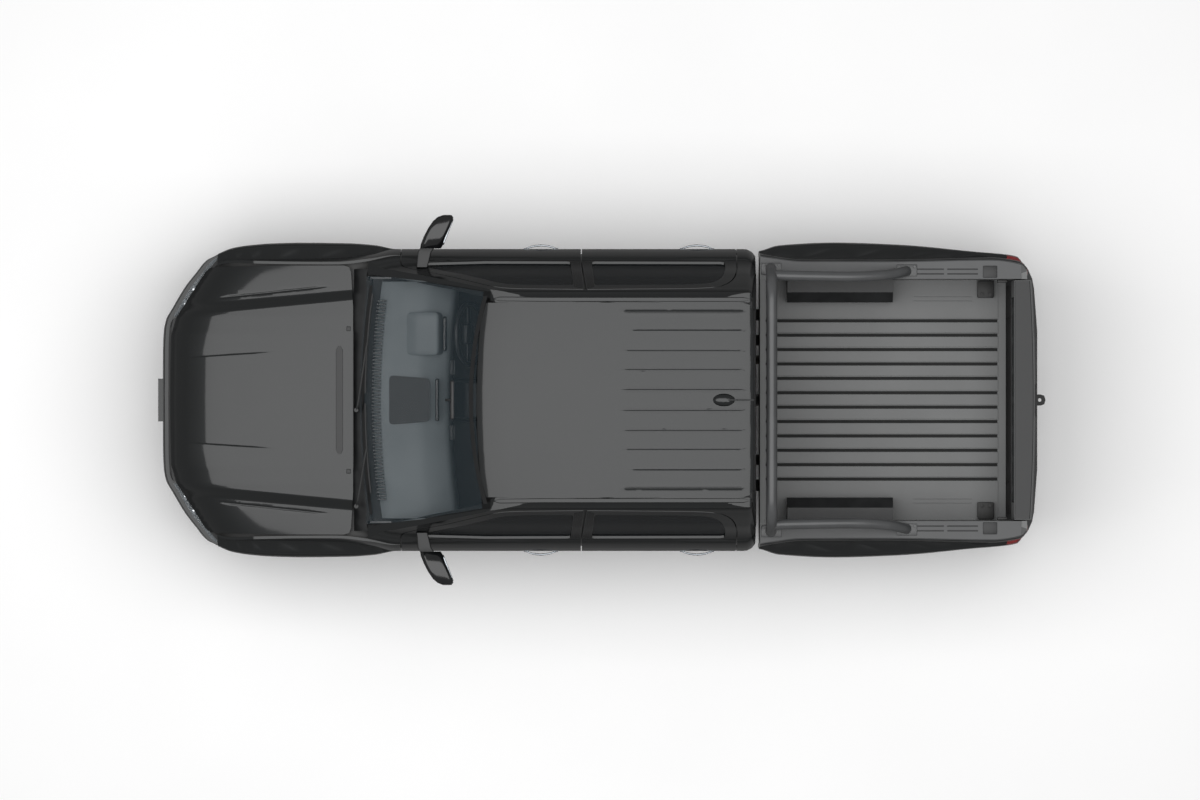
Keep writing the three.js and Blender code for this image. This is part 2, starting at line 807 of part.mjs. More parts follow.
// ---------------------------------------------------------------------------------------------
// The nose: hood, front wings, bumper, grille and headlamps
// ---------------------------------------------------------------------------------------------
const HOOD_ROWS = [1480, 1700, 1900, 2100, 2250, 2360, 2450, 2510, 2560, 2625];
const HOOD_COLUMNS = [0, 390, 500, 560, 640, 720, 830];

function hood() {
  const ys = [...HOOD_COLUMNS.slice(1).map((y) => -y).reverse(), ...HOOD_COLUMNS];
  const sheet = topSlab(
    HOOD_ROWS,
    ys,
    (x, y) => hoodSkin(x, y) - HOOD_THICKNESS,
    (x, y) => hoodSkin(x, y),
  );
  const edge = [0, 390, 440, 500, 536, 774].map((y) => [HOOD_FRONT(y), y]);
  const left = [
    ...edge,
    [2376, HOOD_HALF_WIDTH - 10, 14],
    [2000, HOOD_HALF_WIDTH],
    [HOOD_REAR_X + 16, HOOD_HALF_WIDTH, 40],
    [HOOD_REAR_X, 560],
  ];
  const right = left.slice(1).map(([x, y, r]) => [x, -y, r]).reverse();
  return sheet.intersect(prism("XY", [...left, ...right], 800, 1400));
}

// Top edge of the wing, level with the hood beside it and rising to the screen pillar.
function fenderTop(x) {
  const beside = hoodSkin(Math.max(x, 1500), HOOD_HALF_WIDTH);
  return x > 1500 ? beside : THREE.MathUtils.lerp(1205, beside, (x - 1219) / (1500 - 1219));
}

function fender() {
  const rear = DOOR_FRONT_X + SHUT_GAP;
  const front = 2330;
  const top = range(rear, front, 5).map((x) => [x, fenderTop(x)]);
  const side = [
    [rear, SILL_Z + 20],
    [1330, SILL_Z + 20],
    [1400, AXLE_Z],
    [1900, AXLE_Z],
    [1900, 802],
    [front, 802],
    ...top.reverse(),
  ];
  const zs = [440, 610, 780, 905, 946, 966, 985, 1110, 1212];
  const xs = [1210, 1380, 1550, 1831, 2060, 2180, 2260, 2335];
  const skin = depthSlab(xs, zs, 0, FENDER_THICKNESS).intersect(prism("XZ", side, 0, 1200));
  const arch = rod([FRONT_AXLE_X, 0, AXLE_Z], [FRONT_AXLE_X, 1200, AXLE_Z], ARCH_RADIUS, ARCH_SIDES);
  const liner = rod([FRONT_AXLE_X, 600, AXLE_Z], [FRONT_AXLE_X, 925, AXLE_Z], ARCH_RADIUS + 16, ARCH_SIDES)
    .intersect(
      sideSlab(
        xs,
        zs,
        () => 600,
        (x, z) => sideSkin(x, z) - 8,
      ),
    )
    .intersect(box([1300, 2040], [600, 1000], [610, 1000]));
  return skin.add(liner).subtract(arch);
}

const lampTop = (y) => hoodSkin(HOOD_FRONT(y), y) - HOOD_THICKNESS - LAMP_TOP_GAP;
const NOSE_COLUMNS = [0, 420, 490, 560, 690, 771, 852, 880];
const noseYs = [...NOSE_COLUMNS.slice(1).map((y) => -y).reverse(), ...NOSE_COLUMNS];

function frontBumper() {
  const zs = [330, 380, 450, 560, 700, 790];
  const shell = frontSlab(
    noseYs,
    zs,
    (y, z) => noseSkin(y, z) - 60,
    (y, z) => noseSkin(y, z),
  );
  const intake = prism(
    "YZ",
    [
      [-500, 400, 20],
      [-560, 560, 20],
      [560, 560, 20],
      [500, 400, 20],
    ],
    2540,
    2800,
  );
  const plate = box([2560, HALF_LENGTH], [-130, 130], [590, 700]);
  const wing = depthSlab([2000, 2120, 2246, 2300, 2360], [480, 620, 790], 0, FENDER_THICKNESS).intersect(
    prism(
      "XZ",
      [
        [1960, 790],
        [2340, 790],
        [2340, 500, 60],
        [2240, 420, 60],
        [1960, 600],
      ],
      800,
      1000,
    ),
  );
  const arch = rod([FRONT_AXLE_X, -1200, AXLE_Z], [FRONT_AXLE_X, 1200, AXLE_Z], ARCH_RADIUS, ARCH_SIDES);
  const recess = frontSlab(
    noseYs,
    [395, 565],
    (y, z) => noseSkin(y, z) - 34,
    (y, z) => noseSkin(y, z) + 40,
  ).intersect(intake);
  return union(shell.subtract(recess), plate, wing, mirrored(wing)).subtract(arch);
}

function grille() {
  const zs = [804, 860, 900, 950, 985];
  const ys = [-520, -490, -420, -250, 0, 250, 420, 490, 520];
  const half = [0, 250, 420, 494].map((y) => [y, lampTop(y)]);
  const left = half.slice(1).map(([y, z]) => [-y, z]);
  const plan = [[-470, 806], [470, 806], ...half.reverse(), ...left];
  const plate = frontSlab(
    ys,
    zs,
    (y, z) => noseSkin(y, z) - 48,
    (y, z) => noseSkin(y, z),
  ).intersect(prism("YZ", plan, 2400, 2800));
  const slots = [838, 876, 914].map((z) => box([2400, 2800], [-440, 440], [z - 13, z + 13]));
  return plate.subtract(union(...slots));
}

function headlamp() {
  const ys = [500, 560, 690, 771, 852, 870, 890];
  const zs = [806, 860, 900, 950];
  const shape = [
    [506, 846],
    [506, lampTop(506)],
    ...[560, 600, 630, 660, 770].map((y) => [y, lampTop(y)]),
    [856, lampTop(856) - 10],
    [872, 880],
    [800, 832],
  ];
  return frontSlab(
    ys,
    zs,
    (y, z) => noseSkin(y, z) - 96,
    (y, z) => noseSkin(y, z),
  ).intersect(prism("YZ", shape, 2334, 2800));
}

function radiatorSupport() {
  const core = box([2430, 2490], [-380, 380], [470, 930]);
  const bar = box([2440, 2480], [-480, 480], [880, 925]);
  const horns = [-1, 1].map((s) => box([2380, 2500], [s * RAIL_Y - 34, s * RAIL_Y + 34], [540, 890]));
  return union(core, bar, ...horns);
}

addPair("fender", fender(), PAINT);
add("hood", hood(), PAINT);
add("front_bumper", frontBumper(), PAINT);
add("grille", grille(), BLACK_PLASTIC);
addPair("headlamp", headlamp(), LAMP);

// ---------------------------------------------------------------------------------------------
// The load bed, its tailgate, sports bar and rear bumper
// ---------------------------------------------------------------------------------------------
const BED_XS = [-2560, -2513, -2465, -2253, -2030, -1700, -1400, -1070, -940];
const BED_ZS = [540, 700, 905, 946, 966, 985, 1100, 1270, 1302];
const BED_UNDERSIDE_Z = BED_FLOOR_Z - BED_FLOOR_THICKNESS;
const TAIL_LAMP = [
  [-2444, 905, 20],
  [-2476, 1240, 14],
  [-2600, 1240],
  [-2600, 905],
];

// Outer skin, inner wall, wheel house and the cap that joins them on top.
function bedSide() {
  const side = [
    [BED_FRONT_X, 620, 40],
    [BED_FRONT_X, BED_TOP_Z],
    [BED_REAR_X, BED_TOP_Z],
    [BED_REAR_X, BUMPER_TOP_Z + 20],
    [BED_REAR_X + 110, BUMPER_TOP_Z + 20],
    [BED_REAR_X + 180, 600],
  ];
  const shell = (from, to) => depthSlab(BED_XS, BED_ZS, from, to);
  const skin = shell(0, BED_SKIN_THICKNESS).intersect(prism("XZ", side, 0, 1200));
  const closed = [
    box([BED_REAR_X, BED_FRONT_X], [BED_INNER_Y, BED_INNER_Y + 22], [BED_UNDERSIDE_Z, BED_TOP_Z]),
    box([BED_REAR_X, BED_FRONT_X], [BED_INNER_Y, 1200], [BED_TOP_Z - 24, BED_TOP_Z]),
    box([BED_FRONT_X - 40, BED_FRONT_X], [BED_INNER_Y, 1200], [BED_UNDERSIDE_Z, BED_TOP_Z]),
    box([BED_REAR_X, BED_REAR_X + 130], [BED_INNER_Y, 1200], [BED_UNDERSIDE_Z, BED_TOP_Z]),
  ].map((block) => block.intersect(sideSlab(BED_XS, BED_ZS, () => BED_INNER_Y, (x, z) => sideSkin(x, z) - 4)));
  const house = prism(
    "YZ",
    [
      [WHEELHOUSE_Y, BED_UNDERSIDE_Z],
      [WHEELHOUSE_Y, WHEELHOUSE_TOP_Z - 60],
      [WHEELHOUSE_Y + 60, WHEELHOUSE_TOP_Z],
      [930, WHEELHOUSE_TOP_Z + 10],
      [930, BED_UNDERSIDE_Z],
    ],
    REAR_AXLE_X - WHEELHOUSE_HALF,
    REAR_AXLE_X + WHEELHOUSE_HALF,
  ).intersect(sideSlab(BED_XS, BED_ZS, () => 0, (x, z) => sideSkin(x, z) - 4));
  const arch = (from, radius) => rod([REAR_AXLE_X, from, AXLE_Z], [REAR_AXLE_X, 1200, AXLE_Z], radius, ARCH_SIDES);
  const lampSeat = prism("XZ", grown(TAIL_LAMP, 1.5), BED_INNER_Y + 24, 1200);
  const tub = box([-3000, -500], [WHEELHOUSE_Y + 20, 1200], [300, BED_UNDERSIDE_Z - 1]);
  return union(skin, ...closed, house)
    .subtract(arch(WHEELHOUSE_Y + 20, ARCH_RADIUS))
    .subtract(tub.intersect(arch(WHEELHOUSE_Y, ARCH_RADIUS)))
    .subtract(lampSeat);
}

function tailLamp() {
  return depthSlab(BED_XS, BED_ZS, 0, 68).intersect(prism("XZ", TAIL_LAMP, BED_INNER_Y + 26, 1200));
}

// Ribbed floor on its cross sills, with the headboard behind the cab: one pressed and welded tub.
function bedFloor() {
  const groove = 14;
  const depth = 9;
  const top = range(0, RIB_COUNT - 1, RIB_COUNT - 1).flatMap((i) => {
    const y = (i - (RIB_COUNT - 1) / 2) * RIB_PITCH;
    return [
      [y - groove / 2 - 3, BED_FLOOR_Z],
      [y - groove / 2, BED_FLOOR_Z - depth],
      [y + groove / 2, BED_FLOOR_Z - depth],
      [y + groove / 2 + 3, BED_FLOOR_Z],
    ];
  });
  const edge = BED_INNER_Y - FIT_GAP;
  const section = [[-edge, BED_UNDERSIDE_Z], [-edge, BED_FLOOR_Z], ...top, [edge, BED_FLOOR_Z], [edge, BED_UNDERSIDE_Z]];
  const sheet = prism("YZ", section, BED_FLOOR_REAR_X, BED_FRONT_X - BED_WALL_THICKNESS + 2);
  const crossSill = (x) => box([x - 35, x + 35], [-560, 560], [RAIL_TOP_BED + FIT_GAP, BED_UNDERSIDE_Z + 2]);
  const beside = [-1, 1].map((s) =>
    box(
      [REAR_AXLE_X - WHEELHOUSE_HALF - 1, REAR_AXLE_X + WHEELHOUSE_HALF + 1],
      s > 0 ? [WHEELHOUSE_Y - FIT_GAP, 800] : [-800, FIT_GAP - WHEELHOUSE_Y],
      [500, 900],
    ),
  );
  const sill = box([-2448, BED_FLOOR_REAR_X + 2], [-720, 720], [BED_UNDERSIDE_Z - 40, BED_FLOOR_Z - 6]);
  return union(sheet, crossSill(-1090), crossSill(-1960), crossSill(-2330), sill, bedHeadboard()).subtract(
    union(...beside),
  );
}

function bedHeadboard() {
  const edge = BED_INNER_Y - FIT_GAP;
  const plate = box([BED_FRONT_X - BED_WALL_THICKNESS, BED_FRONT_X], [-edge, edge], [BED_UNDERSIDE_Z, BED_TOP_Z]);
  const panels = [-480, 0, 480].map((y) =>
    box([BED_FRONT_X - BED_WALL_THICKNESS - 10, BED_FRONT_X - 22], [y - 190, y + 190], [900, 1200]),
  );
  return plate.subtract(union(...panels));
}

// The tailgate's section, as distance behind its inner face and height above its hinge line.
function tailgate() {
  const ys = range(-TAILGATE_HALF_WIDTH, TAILGATE_HALF_WIDTH, 6);
  const swell = curveThrough([
    [-24, 70],
    [0, 84],
    [90, 100],
    [300, 112],
    [430, 108],
    [TAILGATE_HEIGHT, 98],
  ]);
  const bow = (y) => 22 * (1 - (y / TAILGATE_HALF_WIDTH) ** 2);
  const zs = [-24, 0, 90, 300, 430, TAILGATE_HEIGHT];
  const body = frontSlab(
    ys,
    zs.map((u) => TAILGATE_AXIS_Z + u),
    (y, z) => TAILGATE_X - swell(z - TAILGATE_AXIS_Z) - bow(y),
    () => TAILGATE_X,
  );
  const underCut = box([TAILGATE_X - 48, TAILGATE_X + 10], [-900, 900], [600, TAILGATE_AXIS_Z - 4]);
  const inside = box([TAILGATE_X - 36, TAILGATE_X + 10], [-620, 620], [TAILGATE_AXIS_Z + 90, TAILGATE_AXIS_Z + 440]);
  const panel = box([TAILGATE_X - 60, TAILGATE_X - 22], [-640, 640], [TAILGATE_AXIS_Z + 70, TAILGATE_AXIS_Z + 460]);
  return body.subtract(underCut).subtract(inside).add(panel);
}

const BAR_X = -1013;
const BAR_RADIUS = 33;

function sportsBar() {
  const foot = BED_TOP_Z + 4;
  const half = [
    [BAR_X, 792, foot],
    [BAR_X, 784, 1400],
    [BAR_X, 762, 1520],
    [BAR_X, 712, 1604],
    [BAR_X, 640, 1644],
    [BAR_X, 500, 1656],
    [BAR_X, 0, 1660],
  ];
  const other = half.slice(0, -1).map(([x, y, z]) => [x, -y, z]).reverse();
  const hoop = tube([...half, ...other], BAR_RADIUS, 24, 8);
  const legs = [-1, 1].map((s) =>
    tube(
      [
        [BAR_X - 8, s * 748, 1546],
        [-1180, s * 744, 1536],
        [-1500, s * 740, 1484],
        [-1700, s * 750, 1420],
        [-1800, s * 768, 1352],
        [-1832, s * 776, foot],
      ],
      BAR_RADIUS - 2,
      9,
      6,
    ),
  );
  const feet = [-1, 1].flatMap((s) => [
    box([BAR_X - 70, BAR_X + 62], [s * 792 - 40, s * 792 + 40], [BED_TOP_Z + 0.5, foot + 6]),
    box([-1832 - 66, -1832 + 66], [s * 780 - 40, s * 780 + 40], [BED_TOP_Z + 0.5, foot + 6]),
  ]);
  return union(hoop, ...legs, ...feet).intersect(box([-2000, -900], [-1000, 1000], [BED_TOP_Z + 0.5, 2000]));
}

function rearBumper() {
  const plan = [
    [-2452, 700],
    [-2452, 856, 20],
    [-2470, 866, 20],
    [-2560, 846, 50],
    [-2622, 740, 60],
    [-2646, 420],
    [-2646, -420],
    [-2622, -740, 60],
    [-2560, -846, 50],
    [-2470, -866, 20],
    [-2452, -856, 20],
    [-2452, -700],
    [-2560, -680, 30],
    [-2590, -400],
    [-2590, 400],
    [-2560, 680, 30],
  ];
  return prism("XY", plan, REAR_BUMPER_BOTTOM_Z, BUMPER_TOP_Z, 0, 2);
}

// Cross beam behind the rails, the plates that hold it and the bumper, and the tongue with its ball hole.
function towBar() {
  const top = REAR_BUMPER_BOTTOM_Z - FIT_GAP;
  const beam = box([-2530, -2460], [-520, 520], [450, top]);
  const plates = [-1, 1].map((s) => {
    const y = s * RAIL_Y;
    return box([-2530, -2400], [y - 8, y + 8], [450, 600]).subtract(box([-2700, -2449], [-900, 900], [top, 660]));
  });
  const tongue = prism(
    "XY",
    [
      [-2462, 42],
      [-2462, -42],
      [-2640, -34],
      [-HALF_LENGTH, -34, 30],
      [-HALF_LENGTH, 34, 30],
      [-2640, 34],
    ],
    470,
    top,
  );
  const hole = rod([-2668, 0, 400], [-2668, 0, 600], 11, 12);
  return union(beam, ...plates, tongue).subtract(hole);
}

addPair("bed_side", bedSide(), PAINT);
addPair("tail_lamp", tailLamp(), RED_LAMP);
add("bed_floor", bedFloor(), BED_LINER);
add("tailgate", tailgate(), PAINT);
add("sports_bar", sportsBar(), BLACK_PLASTIC);
add("rear_bumper", rearBumper(), CHASSIS_BLACK);

// ---------------------------------------------------------------------------------------------
// Chassis and running gear
// ---------------------------------------------------------------------------------------------
function ladderFrame() {
  const rail = [
    [2520, 560],
    [2520, 660],
    [2300, 660],
    [2100, 620],
    [1480, 620],
    [1200, RAIL_TOP_CAB],
    [-960, RAIL_TOP_CAB, 100],
    [-1100, RAIL_TOP_BED, 100],
    [-2460, RAIL_TOP_BED],
    [-2460, 590],
    [-1180, 590, 100],
    [-1020, 380, 100],
    [1160, 380],
    [1420, 480],
    [2080, 480],
    [2260, 560],
  ];
  const half = RAIL_WIDTH / 2;
  const rails = [-1, 1].map((s) => prism("XZ", rail, s * RAIL_Y - half, s * RAIL_Y + half));
  const cross = (x, low, high, width = 70) => box([x - width / 2, x + width / 2], [-RAIL_Y, RAIL_Y], [low, high]);
  const cabMounts = [960, 180, -620].map((x) =>
    union(
      box([x - 30, x + 30], [-560, 560], [RAIL_TOP_CAB - 40, RAIL_TOP_CAB - 4]).subtract(
        box([x - 40, x + 40], [-RAIL_Y, RAIL_Y], [300, 600]),
      ),
      ...[-1, 1].map((s) => rod([x, s * 520, RAIL_TOP_CAB - 10], [x, s * 520, CAB_UNDERSIDE_Z - FIT_GAP], 34, 8)),
    ),
  );
  return union(
    ...rails,
    ...cabMounts,
    cross(2340, 580, 640, 60),
    cross(FRONT_AXLE_X, 484, 530, 160),
    cross(1240, 404, 440, 90),
    cross(180, 388, 424),
    cross(-860, 484, RAIL_TOP_CAB - 4),
    cross(-1130, 600, 660),
    cross(-1760, 600, 660),
    cross(-2440, 610, 680, 40),
    radiatorSupport(),
    towBar(),
  );
}

// The engine as one plain block, the gearbox and transfer case behind it, and the shaft to the rear axle.
function powertrain() {
  const block = prism(
    "YZ",
    [
      [-150, 556],
      [-270, 700],
      [-270, 1000],
      [270, 1000],
      [270, 700],
      [150, 556],
    ],
    1350,
    2060,
  );
  const pulley = rod([2040, 0, 760], [2130, 0, 760], 110, 12);
  const housing = prism(
    "XZ",
    [
      [1352, 470],
      [1352, 640],
      [1240, 640],
      [760, 610],
      [640, 560],
      [640, 470],
      [1000, 450],
    ],
    -88,
    88,
  );
  const shaft = rod([645, 0, 520], [REAR_AXLE_X + 190, 0, AXLE_Z + 22], 36, 8);
  return union(block, pulley, housing, shaft);
}

function rearAxle() {
  const inner = WHEEL_Y - RIM_WIDTH / 2 + 30;
  const beam = rod([REAR_AXLE_X, -HUB_FACE_Y, AXLE_Z], [REAR_AXLE_X, HUB_FACE_Y, AXLE_Z], 44, 8);
  const pot = solid(new THREE.SphereGeometry(150, 10, 7).scale(1, 0.9, 1).translate(REAR_AXLE_X, 0, AXLE_Z));
  const nose = rod([REAR_AXLE_X, 0, AXLE_Z], [REAR_AXLE_X + 184, 0, AXLE_Z + 22], 66, 8);
  const drums = [-1, 1].map((s) =>
    rod([REAR_AXLE_X, s * (inner - 52), AXLE_Z], [REAR_AXLE_X, s * (inner + 1), AXLE_Z], 150, 14),
  );
  const spring = (s) => {
    const y = s * 520;
    const leaf = (length, drop, z) => {
      const arc = range(-1, 1, 4);
      const over = arc.map((t) => [REAR_AXLE_X + t * length, z + drop * t * t + 12]);
      const under = arc.map((t) => [REAR_AXLE_X + t * length, z + drop * t * t]).reverse();
      return prism("XZ", [...over, ...under], y - 35, y + 35);
    };
    const clamp = box([REAR_AXLE_X - 70, REAR_AXLE_X + 70], [y - 48, y + 48], [AXLE_Z - 56, AXLE_Z + 76]);
    return union(leaf(580, 64, AXLE_Z + 54), leaf(400, 29.6, AXLE_Z + 43), leaf(250, 11, AXLE_Z + 32), clamp);
  };
  return union(beam, pot, nose, ...drums, spring(-1), spring(1));
}

// Lower and upper arms with the coil-over leg on each side, joined by the cross tube that carries them.
const ARM_END_HALF = 20; // half width of an arm at its ball joint, clear of the steered brake disc

function frontSuspension() {
  const side = (s) => {
    const arm = (inner, spread, outer, low, high) =>
      prism(
        "XY",
        [
          [FRONT_AXLE_X + spread, s * inner],
          [FRONT_AXLE_X + ARM_END_HALF, s * outer],
          [FRONT_AXLE_X - ARM_END_HALF, s * outer],
          [FRONT_AXLE_X - spread, s * inner],
        ],
        low,
        high,
      );
    const armEnd = WHEEL_Y - KINGPIN_OFFSET - 6;
    const lower = arm(320, 150, armEnd, 258, 284);
    const upper = arm(410, 84, armEnd, 534, 556);
    const hole = (x) => box([x - 30, x + 30], s > 0 ? [420, 520] : [-520, -420], [200, 300]);
    const leg = rod([FRONT_AXLE_X, s * 545, 270], [FRONT_AXLE_X, s * 455, 760], 30, 8);
    const coil = rod([FRONT_AXLE_X, s * 530, 350], [FRONT_AXLE_X, s * 463, 716], 50, 10);
    const cap = box([FRONT_AXLE_X - 60, FRONT_AXLE_X + 60], s > 0 ? [398, 520] : [-520, -398], [716, 756]);
    const plate = box([FRONT_AXLE_X - 60, FRONT_AXLE_X + 60], s > 0 ? [398, 412] : [-412, -398], [500, 740]);
    const post = box([FRONT_AXLE_X - 70, FRONT_AXLE_X + 70], s > 0 ? [345, 385] : [-385, -345], [280, 479]);
    return union(lower.subtract(hole(FRONT_AXLE_X)), upper, leg, coil, cap, plate, post);
  };
  const cross = box([FRONT_AXLE_X - 130, FRONT_AXLE_X + 130], [-360, 360], [250, 296]);
  return union(cross, side(1), side(-1));
}

// The pipe runs under the cab, over the axle and out behind the right rear wheel.
function exhaust() {
  const pipe = tube(
    [
      [1400, -300, 520],
      [1340, -280, 400],
      [1220, -250, 350],
      [200, -240, 346],
      [-700, -240, 400],
      [-1060, -250, 470],
      [-1300, -250, 512],
      [-1560, -260, 512],
      [-1640, -300, 500],
      [-1800, -440, 490],
      [-2300, -446, 440],
    ],
    28,
    22,
    6,
  );
  const muffler = rod([-760, -240, 402], [-120, -240, 392], 72, 10);
  return union(pipe, muffler);
}

const fuelTank = () =>
  prism(
    "YZ",
    [
      [120, 340],
      [320, 340],
      [330, 500],
      [120, 496],
    ],
    -580,
    120,
  );

function spareWheel() {
  const spareX = -2052;
  const profile = [
    [0, 40],
    [200, 40],
    [228, 108],
    [340, 116],
    [372, 84],
    [372, -84],
    [340, -116],
    [228, -108],
    [200, -20],
    [0, -20],
  ];
  const points = profile.map(([r, h]) => new THREE.Vector2(r, h));
  const wheel = new THREE.LatheGeometry(points.reverse(), 20);
  return solid(wheel.rotateX(Math.PI / 2).translate(spareX, 0, 462));
}

function tyre() {
  const half = TYRE_WIDTH / 2;
  const profile = [
    [RIM_RADIUS - 12, half - 18],
    [310, half],
    [364, half - 8],
    [TYRE_RADIUS, half - 40],
    [TYRE_RADIUS, -half + 40],
    [364, -half + 8],
    [310, -half],
    [RIM_RADIUS - 12, -half + 18],
  ];
  return turned(profile.reverse(), WHEEL_SEGMENTS);
}

// Outer side of the wheel faces +Y.
function rim() {
  const half = RIM_WIDTH / 2;
  const barrel = turned(
    [
      [BARREL_RADIUS, half],
      [RIM_RADIUS - 13, half],
      [RIM_RADIUS - 13, -half],
      [BARREL_RADIUS, -half],
    ],
    WHEEL_SEGMENTS,
  );
  const hub = rod([0, -HUB_INSET, 0], [0, half - 22, 0], 76, 10);
  const disc = rod([0, -HUB_INSET + 10, 0], [0, 0, 0], 150, 12);
  const spoke = () =>
    prism(
      "XZ",
      [
        [-34, 40],
        [-40, 220],
        [40, 220],
        [34, 40],
      ],
      half - 66,
      half - 26,
    );
  const spokes = range(0, 5, 5).map((i) => spoke().rotate([0, i * 60, 0]));
  return union(barrel, hub, disc, ...spokes);
}

function knuckle() {
  const x = FRONT_AXLE_X;
  const kingpin = WHEEL_Y - KINGPIN_OFFSET;
  const upright = box([x - 34, x + 34], [kingpin - 26, kingpin - 4], [292, 526]);
  const stub = rod([x, kingpin - 10, AXLE_Z], [x, HUB_FACE_Y, AXLE_Z], 46, 10);
  const caliper = box([x - 168, x - 90], [kingpin - 30, kingpin + 2], [AXLE_Z - 60, AXLE_Z + 60]);
  const ear = box([x - 120, x - 20], [kingpin - 26, kingpin - 4], [AXLE_Z - 20, AXLE_Z + 20]);
  return union(upright, stub, caliper, ear);
}

add("ladder_frame", ladderFrame(), CHASSIS_BLACK);
add("powertrain", powertrain(), CAST_METAL);
add("rear_axle", rearAxle(), CHASSIS_BLACK);
add("front_suspension", frontSuspension(), CHASSIS_BLACK);
add("exhaust", exhaust(), CAST_METAL);
add("fuel_tank", fuelTank(), BLACK_PLASTIC);
add("spare_wheel", spareWheel(), RUBBER);
addPair("knuckle", knuckle(), CAST_METAL);

for (const [end, x] of [
  ["front", FRONT_AXLE_X],
  ["rear", REAR_AXLE_X],
]) {
  add(`tyre_${end}_left`, tyre(), RUBBER, [x, WHEEL_Y, AXLE_Z]);
  add(`tyre_${end}_right`, mirrored(tyre()), RUBBER, [x, -WHEEL_Y, AXLE_Z]);
  add(`rim_${end}_left`, rim(), ALLOY, [x, WHEEL_Y, AXLE_Z]);
  add(`rim_${end}_right`, mirrored(rim()), ALLOY, [x, -WHEEL_Y, AXLE_Z]);
}

// ---------------------------------------------------------------------------------------------
// Inside the cab
// ---------------------------------------------------------------------------------------------
const DRIVER_Y = -400;
const COLUMN_TILT = THREE.MathUtils.degToRad(26); // of the steering column from level

function dashboard() {
  const section = [
    [1398, 1172],
    [1398, 1188],
    [1320, 1204],
    [1100, 1200, 60],
    [930, 1140, 40],
    [900, 1000, 60],
    [960, 810, 60],
    [1249, 790],
    [1249, 1160],
  ];
  const body = alongScreen(section, 716);
  const binnacle = prism(
    "XZ",
    [
      [1200, 1190],
      [1120, 1236, 30],
      [985, 1246, 20],
      [975, 1190, 20],
      [940, 1100],
      [1100, 1100],
    ],
    DRIVER_Y - 130,
    DRIVER_Y + 130,
  );
  const screen = box([985, 1010], [-130, 130], [1060, 1228]);
  const console = prism(
    "XZ",
    [
      [1050, 692],
      [1050, 900],
      [930, 900, 40],
      [840, 800, 60],
      [560, 790, 30],
      [440, 850, 30],
      [120, 850, 30],
      [110, 692],
    ],
    -110,
    110,
  );
  return union(body, binnacle, screen, console);
}

function frontSeat(s) {
  const section = [
    [640, 720],
    [640, 870, 50],
    [560, 905, 50],
    [230, 870, 40],
    [10, 1330],
    [-30, 1500],
    [-90, 1490],
    [-90, 1350],
    [70, 760],
    [200, FLOOR_Z + FIT_GAP],
    [560, FLOOR_Z + FIT_GAP],
  ];
  const blank = prism("XZ", section, s * 400 - 250, s * 400 + 250);
  const trim = prism(
    "YZ",
    [
      [s * 400 - 250, 500],
      [s * 400 - 250, 1200],
      [s * 400 - 200, 1340],
      [s * 400 - 130, 1352],
      [s * 400 - 120, 1510],
      [s * 400 + 120, 1510],
      [s * 400 + 130, 1352],
      [s * 400 + 200, 1340],
      [s * 400 + 250, 1200],
      [s * 400 + 250, 500],
    ],
    -200,
    700,
  );
  return blank.intersect(trim);
}

function rearBench() {
  const section = [
    [-330, 740],
    [-330, 880, 50],
    [-400, 910, 50],
    [-690, 890],
    [-740, 1330],
    [-750, 1480],
    [-810, 1480],
    [-830, 1330],
    [-862, 760],
    [-700, FLOOR_Z + FIT_GAP],
    [-500, FLOOR_Z + FIT_GAP],
  ];
  const blank = prism("XZ", section, -640, 640);
  const gaps = [-1, 1].map((s) => box([-900, -700], s > 0 ? [140, 230] : [-230, -140], [1350, 1600]));
  const ends = [-1, 1].map((s) => box([-900, -700], s > 0 ? [480, 700] : [-700, -480], [1350, 1600]));
  return blank.subtract(union(...gaps, ...ends));
}

function steeringWheel() {
  const ring = solid(new THREE.TorusGeometry(184, 16, 6, 16));
  const boss = rod([0, 0, -44], [0, 0, 10], 62, 12);
  const bars = union(box([-180, 180], [-22, 22], [-22, -2]), box([-26, 26], [-180, 0], [-22, -2]));
  return union(ring, boss, bars);
}

add("dashboard", dashboard(), CABIN_PLASTIC);
add("front_seat_left", frontSeat(1), SEAT_CLOTH);
add("front_seat_right", frontSeat(-1), SEAT_CLOTH);
add("rear_bench", rearBench(), SEAT_CLOTH);

// The wheel's own axis points up and back along the column, with its third spoke downwards.
const WHEEL_CENTRE = [800, DRIVER_Y, 1074];
const column = new THREE.Vector3(-Math.cos(COLUMN_TILT), 0, Math.sin(COLUMN_TILT));
const across = new THREE.Vector3(0, -1, 0);
const up = new THREE.Vector3().crossVectors(column, across);
const seat = new THREE.Matrix4().makeBasis(across, up, column).setPosition(...WHEEL_CENTRE);
add("steering_wheel", steeringWheel().transform(seat.toArray()), CABIN_PLASTIC);

// ---------------------------------------------------------------------------------------------
// Door mirrors
// ---------------------------------------------------------------------------------------------
function mirror() {
  const plan = [
    [1118, 905, 30],
    [1060, 1030, 40],
    [1006, 1100, 30],
    [926, 1122, 20],
    [896, 1096, 20],
    [960, 905, 30],
  ];
  const face = [
    [880, 1268, 30],
    [900, 1440, 40],
    [1100, 1456, 60],
    [1126, 1300, 40],
    [1090, 1256, 30],
  ];
  const shell = prism("XY", plan, 1200, 1500).intersect(prism("YZ", face, 800, 1200));
  const arm = prism(
    "XY",
    [
      [1128, 846],
      [1110, 920, 20],
      [1010, 930, 20],
      [1060, 846],
    ],
    1282,
    1326,
  );
  return shell.add(arm);
}

const cutByDoor = (made) =>
  made.subtract(
    sideSlab(
      FRONT_DOOR_XS,
      SKIN_ROWS,
      () => 0,
      (x, z) => sideSkin(x, z) + FIT_GAP,
    ),
  );
addPair("mirror", cutByDoor(mirror()), BLACK_PLASTIC);

export default truck;
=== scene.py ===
import bisect
import json
import math

